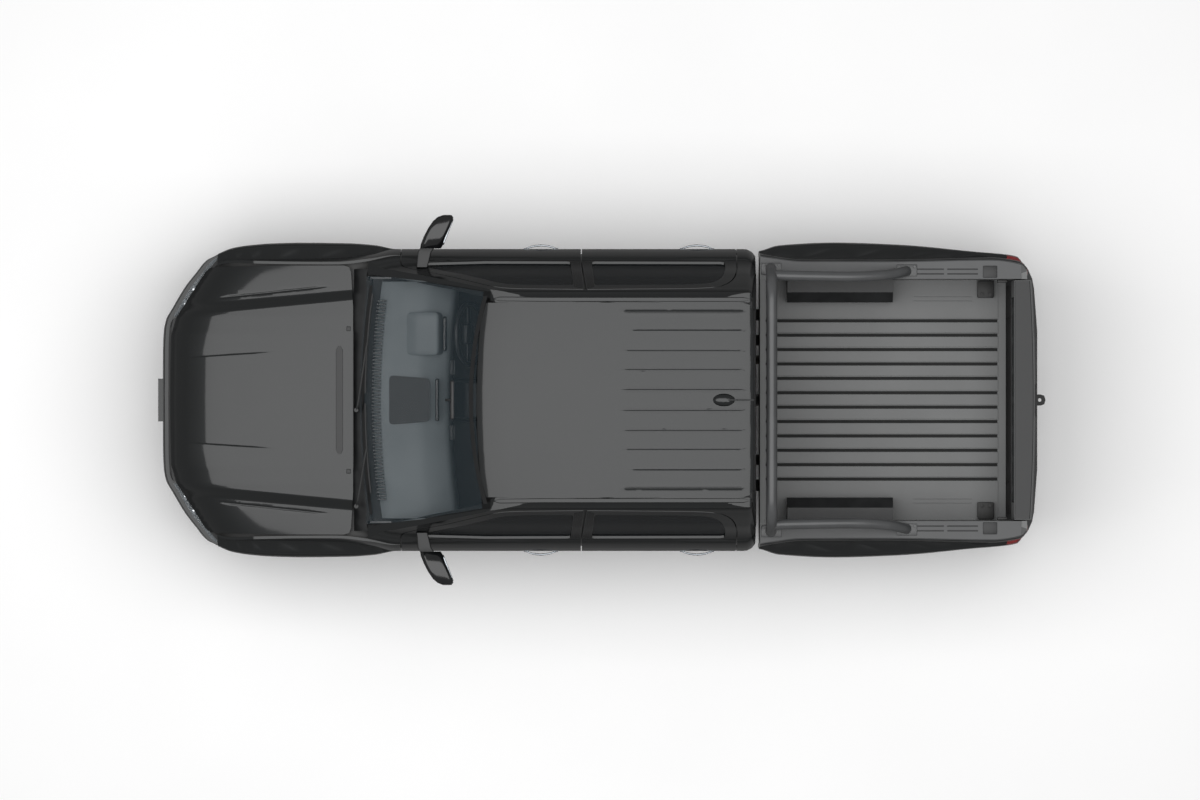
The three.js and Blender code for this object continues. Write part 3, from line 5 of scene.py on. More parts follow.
import bmesh
import bpy
from mathutils import Matrix, Vector


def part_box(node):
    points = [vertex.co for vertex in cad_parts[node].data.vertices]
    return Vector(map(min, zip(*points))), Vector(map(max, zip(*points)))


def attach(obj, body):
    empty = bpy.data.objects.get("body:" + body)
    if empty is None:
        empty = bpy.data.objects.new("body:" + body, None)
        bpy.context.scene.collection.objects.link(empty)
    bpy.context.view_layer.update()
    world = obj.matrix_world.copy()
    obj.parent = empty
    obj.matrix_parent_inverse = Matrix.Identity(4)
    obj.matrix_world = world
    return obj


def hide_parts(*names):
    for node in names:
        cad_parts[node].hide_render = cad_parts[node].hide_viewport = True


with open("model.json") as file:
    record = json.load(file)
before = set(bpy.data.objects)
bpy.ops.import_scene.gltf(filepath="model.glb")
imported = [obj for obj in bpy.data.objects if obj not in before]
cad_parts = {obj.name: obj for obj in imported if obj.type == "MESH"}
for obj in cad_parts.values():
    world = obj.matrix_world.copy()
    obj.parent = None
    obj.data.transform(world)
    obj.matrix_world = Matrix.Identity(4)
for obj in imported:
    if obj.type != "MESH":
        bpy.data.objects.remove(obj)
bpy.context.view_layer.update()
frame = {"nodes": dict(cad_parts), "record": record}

# ------------------------------------------------------------------------------------------------
# Ladder frame, axle, springs, arms and knuckles: welded steel and forgings, dipped in satin black
# chassis paint and bolted together. They keep their CAD shapes.
# ------------------------------------------------------------------------------------------------


def linear(code):
    """An sRGB colour written as 0xRRGGBB, as linear RGBA."""
    channels = [(code >> shift & 255) / 255 for shift in (16, 8, 0)]
    return [c / 12.92 if c < 0.04045 else ((c + 0.055) / 1.055) ** 2.4 for c in channels] + [1.0]


def add(tree, kind, props=None, inputs=None):
    """Adds a node, sets its properties, and sets or links its inputs."""
    made = tree.nodes.new("ShaderNode" + kind)
    for name, value in (props or {}).items():
        setattr(made, name, value)
    for name, value in (inputs or {}).items():
        if isinstance(value, bpy.types.NodeSocket):
            tree.links.new(value, made.inputs[name])
        else:
            made.inputs[name].default_value = value
    return made


def mottled(name, dark, light, patch_mm, rough, grain_mm, relief_mm, metallic=0.0, ior=1.5):
    """A finish whose colour and roughness drift over patches, with a fine raised grain."""
    made = bpy.data.materials.new(name)
    made.use_nodes = True
    tree = made.node_tree
    shader = tree.nodes["Principled BSDF"]
    place = add(tree, "TexCoord").outputs["Object"]
    patch = add(tree, "TexNoise", inputs={"Vector": place, "Scale": 1000 / patch_mm, "Detail": 4.0})
    colour = add(tree, "ValToRGB", inputs={"Fac": patch.outputs["Fac"]})
    colour.color_ramp.elements[0].position = 0.35
    colour.color_ramp.elements[1].position = 0.65
    colour.color_ramp.elements[0].color = linear(dark)
    colour.color_ramp.elements[1].color = linear(light)
    tree.links.new(colour.outputs["Color"], shader.inputs["Base Color"])
    spread = {"Value": patch.outputs["Fac"], "To Min": rough[0], "To Max": rough[1]}
    wear = add(tree, "MapRange", inputs=spread)
    tree.links.new(wear.outputs["Result"], shader.inputs["Roughness"])
    grain = add(tree, "TexNoise", inputs={"Vector": place, "Scale": 1000 / grain_mm, "Detail": 2.0})
    relief = {"Height": grain.outputs["Fac"], "Strength": 1.0, "Distance": relief_mm / 1000}
    bump = add(tree, "Bump", inputs=relief)
    tree.links.new(bump.outputs["Normal"], shader.inputs["Normal"])
    shader.inputs["Metallic"].default_value = metallic
    shader.inputs["IOR"].default_value = ior
    return made


# Dipped chassis paint: satin, a little uneven, with dust in random patches.
chassis_paint = mottled("dipped_chassis_paint", 0x141414, 0x232322, 120, (0.45, 0.65), 3, 0.05)
# Cast iron and aluminium housings straight from the mould, dulled by heat and road film.
raw_casting = mottled("sand_cast_housing", 0x4C4C4D, 0x6E6E6C, 60, (0.45, 0.7), 2, 0.15, metallic=0.7)
# Aluminised steel tube, browned by heat.
hot_steel = mottled("aluminised_steel_tube", 0x5B554E, 0x8A8780, 90, (0.3, 0.5), 4, 0.03, metallic=1.0)
# Blow-moulded polyethylene tank with a dull skin.
blown_tank = mottled("blow_moulded_polyethylene", 0x101011, 0x1B1B1C, 80, (0.5, 0.6), 5, 0.1)

CARRIED = {
    "ladder_frame": chassis_paint,
    "rear_axle": chassis_paint,
    "front_suspension": chassis_paint,
    "knuckle_left": raw_casting,
    "knuckle_right": raw_casting,
    "powertrain": raw_casting,
    "exhaust": hot_steel,
    "fuel_tank": blown_tank,
}
for name, finish in CARRIED.items():
    frame["nodes"][name].material_slots[0].material = finish

# ------------------------------------------------------------------------------------------------
# Tyres: moulded rubber, with rounded shoulders, four grooves round the tread and a row of lugs on
# each shoulder. A slightly smaller spare hangs under the bed on a plain steel wheel.
# ------------------------------------------------------------------------------------------------
MM = 0.001
TYRE_RADIUS = 387.9
TYRE_WIDTH = 265
BEAD_RADIUS = 229
TREAD_DEPTH = 9


def piece(name, shape, finish, body="root", instead_of=(), crease=32):
    """Finishes a shape modelled in millimetres as a Blender object that rides on a CAD body."""
    limit = math.radians(crease)
    for face in shape.faces:
        face.smooth = True
    for edge in shape.edges:
        edge.smooth = len(edge.link_faces) == 2 and edge.calc_face_angle(0.0) < limit
    bmesh.ops.scale(shape, vec=(MM, MM, MM), verts=shape.verts)
    mesh = bpy.data.meshes.new(name)
    shape.to_mesh(mesh)
    shape.free()
    mesh.materials.append(finish)
    made = bpy.data.objects.new(name, mesh)
    bpy.context.collection.objects.link(made)
    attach(made, body)
    if instead_of:
        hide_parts(*instead_of)
    return made


def facing_out(shape):
    bmesh.ops.remove_doubles(shape, verts=shape.verts, dist=0.01)
    bmesh.ops.recalc_face_normals(shape, faces=shape.faces)


def turn_profile(points, steps, axis=(0, 1, 0)):
    """A closed profile in the X-Y plane, turned a full circle about the Y axis."""
    shape = bmesh.new()
    verts = [shape.verts.new((radius, across, 0)) for radius, across in points]
    edges = [shape.edges.new((verts[i], verts[(i + 1) % len(verts)])) for i in range(len(verts))]
    bmesh.ops.spin(
        shape, geom=verts + edges, cent=(0, 0, 0), axis=axis, angle=2 * math.pi, steps=steps, use_merge=True
    )
    facing_out(shape)
    return shape


def merge_in(shape, other, matrix=None):
    """Adds a copy of another shape, placed by a matrix."""
    held = bpy.data.meshes.new("held")
    other.to_mesh(held)
    if matrix is not None:
        held.transform(matrix)
        if matrix.determinant() < 0:
            held.flip_normals()
    shape.from_mesh(held)
    bpy.data.meshes.remove(held)


def block(lo, hi, bevel=0.0, segments=2):
    shape = bmesh.new()
    bmesh.ops.create_cube(shape, size=1.0)
    size = [hi[i] - lo[i] for i in range(3)]
    bmesh.ops.scale(shape, vec=size, verts=shape.verts)
    bmesh.ops.translate(shape, vec=[(hi[i] + lo[i]) / 2 for i in range(3)], verts=shape.verts)
    if bevel:
        bmesh.ops.bevel(
            shape, geom=shape.edges[:], offset=bevel, segments=segments, profile=0.5,
            affect="EDGES", material=-1,
        )
    return shape


def rod(start, end, radius, sides=16, end_radius=None):
    way = Vector(end) - Vector(start)
    shape = bmesh.new()
    bmesh.ops.create_cone(
        shape, cap_ends=True, segments=sides, radius1=radius,
        radius2=radius if end_radius is None else end_radius, depth=way.length,
    )
    turn = Vector((0, 0, 1)).rotation_difference(way).to_matrix().to_4x4()
    middle = Matrix.Translation((Vector(start) + Vector(end)) / 2)
    bmesh.ops.transform(shape, matrix=middle @ turn, verts=shape.verts)
    return shape


def tyre_shape():
    half = TYRE_WIDTH / 2
    bottom = TYRE_RADIUS - TREAD_DEPTH
    groove = [(TYRE_RADIUS, 0), (bottom, 1.5), (bottom, 8), (TYRE_RADIUS, 9.5)]
    crown = []
    for start in (-62, -20, 11, 53):
        crown += [(radius, start + across) for radius, across in groove]
    side = [
        (BEAD_RADIUS, half - 20), (BEAD_RADIUS + 12, half - 12), (262, half - 5), (300, half),
        (335, half - 2), (338, half - 4), (356, half - 7), (372, half - 15), (382, half - 26),
        (386.5, half - 38),
    ]
    profile = [(r, -y) for r, y in side] + crown + side[::-1]
    profile += [(BEAD_RADIUS, half - 60), (BEAD_RADIUS + 40, 0), (BEAD_RADIUS, -half + 60)]
    shape = turn_profile(profile, 84)
    # Shoulder lugs stand round the circumference, one on each side for each pitch.
    lug = block((-11, 78, TYRE_RADIUS - 29), (11, 121, TYRE_RADIUS - 9), 2, 1)
    slant = Matrix.Rotation(math.radians(-24), 3, "X")
    bmesh.ops.rotate(lug, cent=(0, 100, TYRE_RADIUS), matrix=slant, verts=lug.verts)
    pitches = 64
    for i in range(pitches):
        for side_of in (1, -1):
            turn = Matrix.Rotation(2 * math.pi * (i + 0.25 * side_of) / pitches, 4, "Y")
            merge_in(shape, lug, turn @ Matrix.Diagonal((1, side_of, 1, 1)))
    lug.free()
    return shape


# Tread rubber: nearly black, matt, with the faint grey bloom that new tyres have.
tread_rubber = mottled("moulded_tread_rubber", 0x0F0F10, 0x1D1D1E, 40, (0.75, 0.95), 1.5, 0.08)

record_joints = {joint["name"]: joint for joint in frame["record"]["behaviour"]["joints"]}
WHEELS = {}
for end in ("front", "rear"):
    for side in ("left", "right"):
        WHEELS[f"{end}_{side}"] = [v / MM for v in record_joints[f"wheel_{end}_{side}_spin"]["pos_m"]]
tyre = tyre_shape()
for name, centre in WHEELS.items():
    placed = bmesh.new()
    merge_in(placed, tyre, Matrix.Translation(centre))
    piece(f"road_tyre_{name}", placed, tread_rubber, f"wheel_{name}", [f"tyre_{name}"])

# ------------------------------------------------------------------------------------------------
# Wheels: cast and machined alloy, lacquered silver-grey, with six split spokes, a ring of six nuts
# and a plain cap. A disc and its hub sit inside.
# ------------------------------------------------------------------------------------------------
RIM_RADIUS = 240
RIM_HALF = 116
HUB_FACE = -34


def lofted(rings):
    """A closed shape through rings that each have the same number of points."""
    shape = bmesh.new()
    loops = []
    for ring in rings:
        verts = [shape.verts.new(point) for point in ring]
        loops.append([shape.edges.new((verts[i], verts[(i + 1) % len(verts)])) for i in range(len(verts))])
    for lower, upper in zip(loops, loops[1:]):
        bmesh.ops.bridge_loops(shape, edges=lower + upper)
    bmesh.ops.contextual_create(shape, geom=loops[0])
    bmesh.ops.contextual_create(shape, geom=loops[-1])
    facing_out(shape)
    return shape


def wheel_shape():
    shape = turn_profile(
        [
            (214, 104), (222, 114), (RIM_RADIUS - 13, RIM_HALF), (RIM_RADIUS - 13, 104), (219, 92), (216, 60),
            (206, 30), (206, -60), (219, -92), (RIM_RADIUS - 13, -104), (RIM_RADIUS - 13, -RIM_HALF),
            (218, -112), (212, -92), (200, -60), (200, 26), (208, 58),
        ],
        72,
    )
    stations = [(56, 15, 66, 34), (100, 15, 72, 30), (150, 14, 80, 26), (190, 15, 88, 24), (211, 20, 90, 30)]
    rings = []
    for radius, half_width, face, depth in stations:
        section = ((-1, -depth), (-1, -6), (-0.62, 0), (0.62, 0), (1, -6), (1, -depth))
        rings.append([(across * half_width, face + out, radius) for across, out in section])
    spoke = lofted(rings)
    for i in range(6):
        for split in (-9, 9):
            turn = Matrix.Rotation(math.radians(60 * i + split), 4, "Y")
            merge_in(shape, spoke, turn)
    spoke.free()
    hub_half = [(0.01, HUB_FACE), (96, HUB_FACE), (96, 20), (74, 62)]
    hub_half += [(62, 66), (36, 66), (34, 74), (0.01, 76)]
    hub = turn_profile(hub_half, 48)
    merge_in(shape, hub)
    hub.free()
    return shape


def brake_shape():
    bell = HUB_FACE - 6
    shape = turn_profile([(70, -76), (162, -76), (162, -50), (90, -50), (90, bell), (70, bell)], 60)
    nut = rod((0, 60, 57), (0, 74, 57), 10.5, 6)
    for i in range(6):
        merge_in(shape, nut, Matrix.Rotation(math.radians(60 * i + 30), 4, "Y"))
    nut.free()
    return shape


# Cast alloy under clear metallic lacquer: smooth, with a soft sparkle.
wheel_lacquer = mottled("lacquered_cast_alloy", 0x8A8E92, 0x9CA0A4, 60, (0.22, 0.32), 1.2, 0.01, metallic=0.9)
# Turned cast iron with fine rings and a film of brown.
turned_iron = mottled("turned_cast_iron", 0x55524E, 0x77736D, 12, (0.3, 0.5), 1, 0.05, metallic=1.0)

wheel = wheel_shape()
brake = brake_shape()
for name, centre in WHEELS.items():
    outward = Matrix.Translation(centre) @ Matrix.Diagonal((1, 1 if centre[1] > 0 else -1, 1, 1))
    placed = bmesh.new()
    merge_in(placed, wheel, outward)
    piece(f"alloy_wheel_{name}", placed, wheel_lacquer, f"wheel_{name}", [f"rim_{name}"])
    placed = bmesh.new()
    merge_in(placed, brake, outward)
    piece(f"brake_disc_{name}", placed, turned_iron, f"wheel_{name}")

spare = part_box("spare_wheel")
spare_centre = [(spare[0][i] + spare[1][i]) / 2 / MM for i in range(3)]
lying = Matrix.Translation(spare_centre) @ Matrix.Rotation(math.radians(90), 4, "X") @ Matrix.Scale(0.949, 4)
squeezed = lying @ Matrix.Diagonal((1, 0.92, 1, 1))
placed = bmesh.new()
merge_in(placed, tyre, squeezed)
piece("spare_tyre", placed, tread_rubber, "root", ["spare_wheel"])
dish_half = [(40, 20), (150, 26), (190, 60), (216, 108), (228, 108)]
dish_half += [(228, -108), (216, -108), (190, -30), (150, 14), (40, 8)]
dish = turn_profile(dish_half, 60)
placed = bmesh.new()
merge_in(placed, dish, squeezed)
dish.free()
piece("spare_steel_wheel", placed, chassis_paint, "root")
tyre.free()
wheel.free()
brake.free()

# ------------------------------------------------------------------------------------------------
# Cab shell: pressed steel sides with their door openings, a floor tub and rear wall between them,
# all spot-welded together, dipped, and sprayed with black metallic under a clear coat.
# ------------------------------------------------------------------------------------------------
FRONT_AXLE_X = 1831
REAR_AXLE_X = -1439
AXLE_Z = 388
CAB_REAR_X = -925
BED_FRONT_X = -948
BED_TOP_Z = 1300
SLICE = 24  # between the cuts that refine a panel


def curve_through(points):
    """A smooth curve through points (a, b) with rising a that doesn't overshoot."""
    slopes = [(b[1] - a[1]) / (b[0] - a[0]) for a, b in zip(points, points[1:])]
    tangents = [slopes[0]]
    for before, after in zip(slopes, slopes[1:]):
        tangents.append(0 if before * after <= 0 else 2 * before * after / (before + after))
    tangents.append(slopes[-1])
    starts = [point[0] for point in points]

    def at(a):
        if a <= starts[0]:
            return points[0][1]
        if a >= starts[-1]:
            return points[-1][1]
        i = bisect.bisect_right(starts, a) - 1
        step = starts[i + 1] - starts[i]
        t = (a - starts[i]) / step
        rise = (3 - 2 * t) * t * t
        bend = t * (1 - t) * step * ((1 - t) * tangents[i] - t * tangents[i + 1])
        return points[i][1] * (1 - rise) + points[i + 1][1] * rise + bend

    return at


def smoothstep(value, low, high):
    t = min(max((value - low) / (high - low), 0), 1)
    return t * t * (3 - 2 * t)


cab_profile = curve_through(
    [
        (430, 850), (520, 890), (700, 906), (900, 914), (1030, 913), (1110, 900), (1190, 877), (1245, 853),
        (1262, 838), (1500, 752), (1700, 674), (1760, 646), (1800, 596),
    ]
)
bed_profile = curve_through([(540, 890), (700, 906), (900, 914), (1030, 914), (1270, 906), (1310, 890)])
flare = curve_through(
    [
        (-2560, -104), (-2513, -44), (-2465, -33), (-2253, -13), (-1800, 29), (-1400, 42), (-1070, 25),
        (-930, -12), (-929, 0), (1240, 0), (1380, 26), (1550, 38), (FRONT_AXLE_X, 41), (2000, 37), (2140, 26),
        (2246, 8), (2332, -27), (2410, -64),
    ]
)
take_in = curve_through(
    [
        (-2560, -120), (-2513, -72), (-2344, -50), (-1700, -60), (-1200, -58), (-1025, -38), (-930, -20),
        (-929, 0), (1240, 0), (1400, -30), (1600, -58), (2000, -66), (2250, -68), (2332, -84), (2410, -126),
    ]
)
shelf = curve_through([(850, 0), (905, 0.1), (930, 0.24), (946, 0.44), (966, 0.94), (985, 1)])
crisp_shelf = curve_through([(850, 0), (905, 0.06), (932, 0.16), (945, 0.32), (960, 0.95), (982, 1)])
cab_corner = curve_through([(CAB_REAR_X, -46), (-900, -16), (-870, -2), (-850, 0)])
nose_taper = curve_through([(700, 0), (1225, -24), (1420, -34)])
upper_only = curve_through([(1215, 0), (1290, 1)])


def side_skin(x, z, over_arches=shelf):
    """Outer half width of the body at a place along it and a height."""
    on_bed = x < BED_FRONT_X + 10
    out = bed_profile(z) if on_bed else cab_profile(z) + cab_corner(x)
    high = over_arches(z)
    return out + flare(x) * (1 - high) + take_in(x) * high + nose_taper(x) * upper_only(z)


def pressed_side(x, z):
    """The body side with the crisper step over its arches that the press leaves."""
    return side_skin(x, z, crisp_shelf)


def roof_sweep(y):
    return 50 * (y / 700) ** 2


roof_line = curve_through(
    [
        (CAB_REAR_X, 1778), (-870, 1800), (-700, 1822), (-400, 1840), (0, 1848), (300, 1838), (560, 1808),
        (700, 1774), (759, 1750), (800, 1728),
    ]
)


def roof_skin(x, y):
    return roof_line(x + roof_sweep(y) * smoothstep(x, 200, 640)) - 34 * (y / 650) ** 2


def on_grid(us, vs, height):
    """A height as the flat triangles over a coarse grid give it."""
    table = [[height(u, v) for v in vs] for u in us]

    def at(u, v):
        i = min(max(bisect.bisect_right(us, u) - 1, 0), len(us) - 2)
        j = min(max(bisect.bisect_right(vs, v) - 1, 0), len(vs) - 2)
        s = (u - us[i]) / (us[i + 1] - us[i])
        t = (v - vs[j]) / (vs[j + 1] - vs[j])
        near, along, far, up = table[i][j], table[i + 1][j], table[i + 1][j + 1], table[i][j + 1]
        if t <= s:
            return near + s * (along - near) + t * (far - along)
        return near + t * (up - near) + s * (far - up)

    return at


SIDE = (0, 2, 1)
TOP = (0, 1, 2)
FRONT = (1, 2, 0)


def panel_copy(node):
    """A CAD panel's mesh in millimetres, with its doubles merged."""
    shape = bmesh.new()
    shape.from_mesh(frame["nodes"][node].data)
    bmesh.ops.scale(shape, vec=(1 / MM, 1 / MM, 1 / MM), verts=shape.verts)
    bmesh.ops.remove_doubles(shape, verts=shape.verts, dist=0.01)
    return shape


def slice_at(shape, point, normal):
    everything = shape.verts[:] + shape.edges[:] + shape.faces[:]
    bmesh.ops.bisect_plane(shape, geom=everything, dist=0.02, plane_co=point, plane_no=normal)


def slice_evenly(shape, axes, step=SLICE):
    for axis in axes:
        places = [v.co[axis] for v in shape.verts]
        low, high = min(places), max(places)
        count = int((high - low) / step)
        normal = [1 if i == axis else 0 for i in range(3)]
        for i in range(1, count):
            point = [(low + (high - low) * i / count) if k == axis else 0 for k in range(3)]
            slice_at(shape, point, normal)


def lay_on(shape, axes, us, vs, coarse, fine, share=lambda off, place: 1.0):
    """Moves points from a coarse grid's triangles to the smooth skin, and returns the skin's normals."""
    u_axis, v_axis, w_axis = axes
    flat = on_grid(us, vs, coarse)
    shape.verts.index_update()
    normals = {}
    for vert in shape.verts:
        sign = -1 if axes == SIDE and vert.co.y < 0 else 1
        u, v, w = vert.co[u_axis], vert.co[v_axis], vert.co[w_axis] * sign
        level = flat(u, v)
        part = share(w - level, vert.co)
        if part <= 0:
            continue
        vert.co[w_axis] = sign * (w + part * (fine(u, v) - level))
        if abs(w - level) < 0.6:
            normal = Vector((0, 0, 0))
            normal[u_axis] = (fine(u - 1.5, v) - fine(u + 1.5, v)) / 3
            normal[v_axis] = (fine(u, v - 1.5) - fine(u, v + 1.5)) / 3
            normal[w_axis] = sign
            normals[vert.index] = normal.normalized()
    return normals


def panel(name, node, shape, finish, body, normals, crease=32):
    """Finishes a refined panel, with the smooth skin's own normals where a corner lies on it."""
    made = piece(name, shape, finish, body, [node], crease)
    mesh = made.data
    corners = [Vector(corner.vector) for corner in mesh.corner_normals]
    for face in mesh.polygons:
        for index in face.loop_indices:
            smooth = normals.get(mesh.loops[index].vertex_index)
            if smooth and smooth.dot(face.normal) > 0.86:
                corners[index] = smooth
    mesh.normals_split_custom_set(corners)
    return made


SKIN_ROWS = [428, 520, 700, 930, 1030, 1120, 1215, 1262, 1500, 1690, 1760, 1812]
CAB_XS = [CAB_REAR_X, -900, -870, 0, 700, 960, 1225, 1420]
ROOF_COLUMNS = [-960, -900, -870, -700, -300, 100, 350, 560, 660, 720, 775]
ROOF_ROWS = [-600, -400, -200, 0, 200, 400, 600]


# Black metallic basecoat with sparse fine flake under a clear coat. The flake is drawn about four
# times coarser than the real 0.1 mm so that it shows, and the coat has a faint orange peel.
def sprayed_paint(name, dark, flake, coat):
    made = bpy.data.materials.new(name)
    made.use_nodes = True
    tree = made.node_tree
    shader = tree.nodes["Principled BSDF"]
    place = add(tree, "TexCoord").outputs["Object"]
    cells = add(tree, "TexVoronoi", inputs={"Vector": place, "Scale": 1000 / 0.45})
    lit = add(tree, "ValToRGB", inputs={"Fac": cells.outputs["Distance"]})
    lit.color_ramp.elements[0].position = 0.0
    lit.color_ramp.elements[1].position = 0.16
    lit.color_ramp.elements[0].color = linear(flake)
    lit.color_ramp.elements[1].color = linear(dark)
    drift = add(tree, "TexNoise", inputs={"Vector": place, "Scale": 1000 / 260, "Detail": 3.0})
    mixed = add(tree, "Mix", {"data_type": "RGBA", "blend_type": "MULTIPLY"})
    mixed.inputs["Factor"].default_value = 0.25
    tree.links.new(lit.outputs["Color"], mixed.inputs["A"])
    tree.links.new(drift.outputs["Fac"], mixed.inputs["B"])
    tree.links.new(mixed.outputs["Result"], shader.inputs["Base Color"])
    gloss = add(tree, "MapRange", inputs={"Value": drift.outputs["Fac"], "To Min": 0.3, "To Max": 0.4})
    tree.links.new(gloss.outputs["Result"], shader.inputs["Roughness"])
    peel = add(tree, "TexNoise", inputs={"Vector": place, "Scale": 1000 / 7, "Detail": 1.0})
    bump = add(tree, "Bump", inputs={"Height": peel.outputs["Fac"], "Strength": 0.35, "Distance": 0.00002})
    tree.links.new(bump.outputs["Normal"], shader.inputs["Coat Normal"])
    shader.inputs["Metallic"].default_value = 0.35
    shader.inputs["Coat Weight"].default_value = coat
    shader.inputs["Coat Roughness"].default_value = 0.07
    shader.inputs["Coat IOR"].default_value = 1.38
    shader.inputs["Specular IOR Level"].default_value = 0.25
    return made


body_paint = sprayed_paint("black_metallic_clear_coat", 0x0E1112, 0x3A4246, 1.0)
SIDES = {"left": 1, "right": -1}


for side in SIDES:
    shell = panel_copy(f"cab_side_{side}")
    slice_evenly(shell, (0, 1, 2))
    normals = lay_on(shell, SIDE, CAB_XS, SKIN_ROWS, side_skin, side_skin, lambda off, place: off > -200)
    level = ROOF_COLUMNS + [1500]
    strip = [500, 560, 620, 680, 1000]

    def strip_top(x, y):
        return roof_skin(x, abs(y)) - 2

    for vert in shell.verts:
        vert.co.y = abs(vert.co.y)
    above = lay_on(
        shell, TOP, level, strip, strip_top, strip_top, lambda off, place: off > -4 and place.x < 700
    )
    for vert in shell.verts:
        vert.co.y *= SIDES[side]
    for index, normal in above.items():
        normals.setdefault(index, Vector((normal.x, normal.y * SIDES[side], normal.z)))
    panel(f"cab_side_panel_{side}", f"cab_side_{side}", shell, body_paint, "root", normals)

# Floor, firewall and rear wall: sheet steel under dull black primer and sound-deadening.
primed_sheet = mottled("primed_pressed_steel", 0x0E0F10, 0x191A1B, 150, (0.5, 0.7), 6, 0.1)
frame["nodes"]["cab_tub"].material_slots[0].material = primed_sheet

# ------------------------------------------------------------------------------------------------
# Roof: one pressed steel panel with ten thin stiffening ribs over the rear seats. A moulded strip
# covers the welded ditch on each side, and the aerial's foot is bolted through at the back.
# ------------------------------------------------------------------------------------------------
ROOF_RIBS = [58, 177, 290, 411, 525]
RIB_HALF = 7
RIB_RISE = 3
RIB_REAR_X = -855


def ribbed_roof(x, y):
    height = roof_skin(x, y)
    nearest = min(ROOF_RIBS, key=lambda rib: abs(abs(y) - rib))
    start = -165 if nearest == 411 else -110
    across = 1 - smoothstep(abs(abs(y) - nearest), 1.5, RIB_HALF)
    rise = RIB_RISE * across * smoothstep(x, RIB_REAR_X, RIB_REAR_X + 25)
    return height + rise * smoothstep(-x, -start, 25 - start)


roof = panel_copy("roof")
slice_evenly(roof, (0, 1), 30)
for rib in ROOF_RIBS:
    for edge in (-RIB_HALF, -1.5, 1.5, RIB_HALF):
        for sign in (1, -1):
            slice_at(roof, (0, sign * (rib + edge), 0), (0, 1, 0))
normals = lay_on(roof, TOP, ROOF_COLUMNS, ROOF_ROWS, roof_skin, ribbed_roof, lambda off, place: off < 1)
panel("roof_panel", "roof", roof, body_paint, "root", normals)

# Satin black moulded trim: even, with a fine spark-eroded grain that takes the shine off.
moulded_black = mottled("spark_grained_polypropylene", 0x131415, 0x1D1E1F, 90, (0.42, 0.55), 1.2, 0.06)
# The same plastic where it is polished by the mould, on mirror shells and pillar covers.
gloss_black = mottled("gloss_moulded_plastic", 0x090A0B, 0x101112, 90, (0.12, 0.2), 20, 0.02)


def swept_strip(points, half_width, height):
    """A low moulded strip with chamfered edges that follows points on a surface."""
    rings = []
    for i, (x, y, z) in enumerate(points):
        end = 0.35 if i in (0, len(points) - 1) else 1.0
        rise = height * end
        rings.append([
            (x, y + across * half_width * end, z + up * rise)
            for across, up in ((-1, 0), (-0.7, 1), (0.7, 1), (1, 0))
        ])
    return lofted(rings)


for side, sign in SIDES.items():
    route = []
    for i in range(41):
        x = -880 + 1530 * i / 40
        y = sign * (600 + 4 * smoothstep(x, 300, 700))
        route.append((x, y, roof_skin(x, abs(y)) - 3))
    piece(f"roof_ditch_strip_{side}", swept_strip(route, 14, 7), body_paint)

# ------------------------------------------------------------------------------------------------
# Dashboard: a soft-skinned moulding across the cab with an instrument hood, air slots along the
# foot of the screen, a display, vents, and a console down the middle. Clipped to a cross beam.
# ------------------------------------------------------------------------------------------------
DRIVER_Y = -400

# Slush-moulded skin: matt, leathery, with a pebble of about 1.5 mm drawn at 3 mm.
dash_skin = mottled("slush_moulded_skin", 0x6C7376, 0x787F82, 300, (0.5, 0.62), 3, 0.12)
# Display glass: black, smooth and reflective.
display_glass = mottled("tempered_display_glass", 0x050607, 0x0A0B0C, 100, (0.05, 0.08), 40, 0.002)


def rounded(points, radius, steps=3):
    """A closed outline with each corner rounded."""
    made = []
    for i, corner in enumerate(points):
        here = Vector(corner)
        before = Vector(points[i - 1])
        after = Vector(points[(i + 1) % len(points)])
        back = (before - here).normalized() * min(radius, (before - here).length * 0.45)
        on = (after - here).normalized() * min(radius, (after - here).length * 0.45)
        for k in range(steps + 1):
            t = k / steps
            made.append(here + back * (1 - t) ** 2 + on * t**2)
    return made


dash_section = rounded(
    [
        (1398, 1174), (1320, 1202), (1100, 1198), (930, 1136), (904, 1000), (962, 812), (1246, 792),
        (1246, 1158),
    ],
    34,
)
stations = [-714 + 1428 * i / 24 for i in range(25)]
dash = lofted([[(x - roof_sweep(y), y, z) for x, z in dash_section] for y in stations])
piece("dashboard_pad", dash, dash_skin, "root", ["dashboard"])

hood_over_dials = [(1190, 1196), (1120, 1234), (990, 1244), (976, 1206), (950, 1110), (1100, 1110)]
rings = []
for y, size in ((-128, 0.86), (-118, 0.96), (-90, 1.0), (90, 1.0), (118, 0.96), (128, 0.86)):
    rings.append([
        (1070 + (x - 1070) * size, DRIVER_Y + y, 1170 + (z - 1170) * size)
        for x, z in rounded(hood_over_dials, 16)
    ])
piece("instrument_hood", lofted(rings), dash_skin)
dial_face = block((940, DRIVER_Y - 105, 1128), (962, DRIVER_Y + 105, 1212), 8)
piece("instrument_face", dial_face, display_glass)
display = block((986, -128, 1064), (1008, 128, 1226), 7, 3)
piece("centre_display", display, display_glass)

vents = bmesh.new()
for y in (-640, -196, 196, 640):
    merge_in(vents, block((898, y - 46, 1040), (924, y + 46, 1108), 7))
    for k in range(5):
        merge_in(vents, block((892, y - 40, 1048 + 12 * k), (910, y + 40, 1052 + 12 * k)))
piece("air_vents", vents, moulded_black)

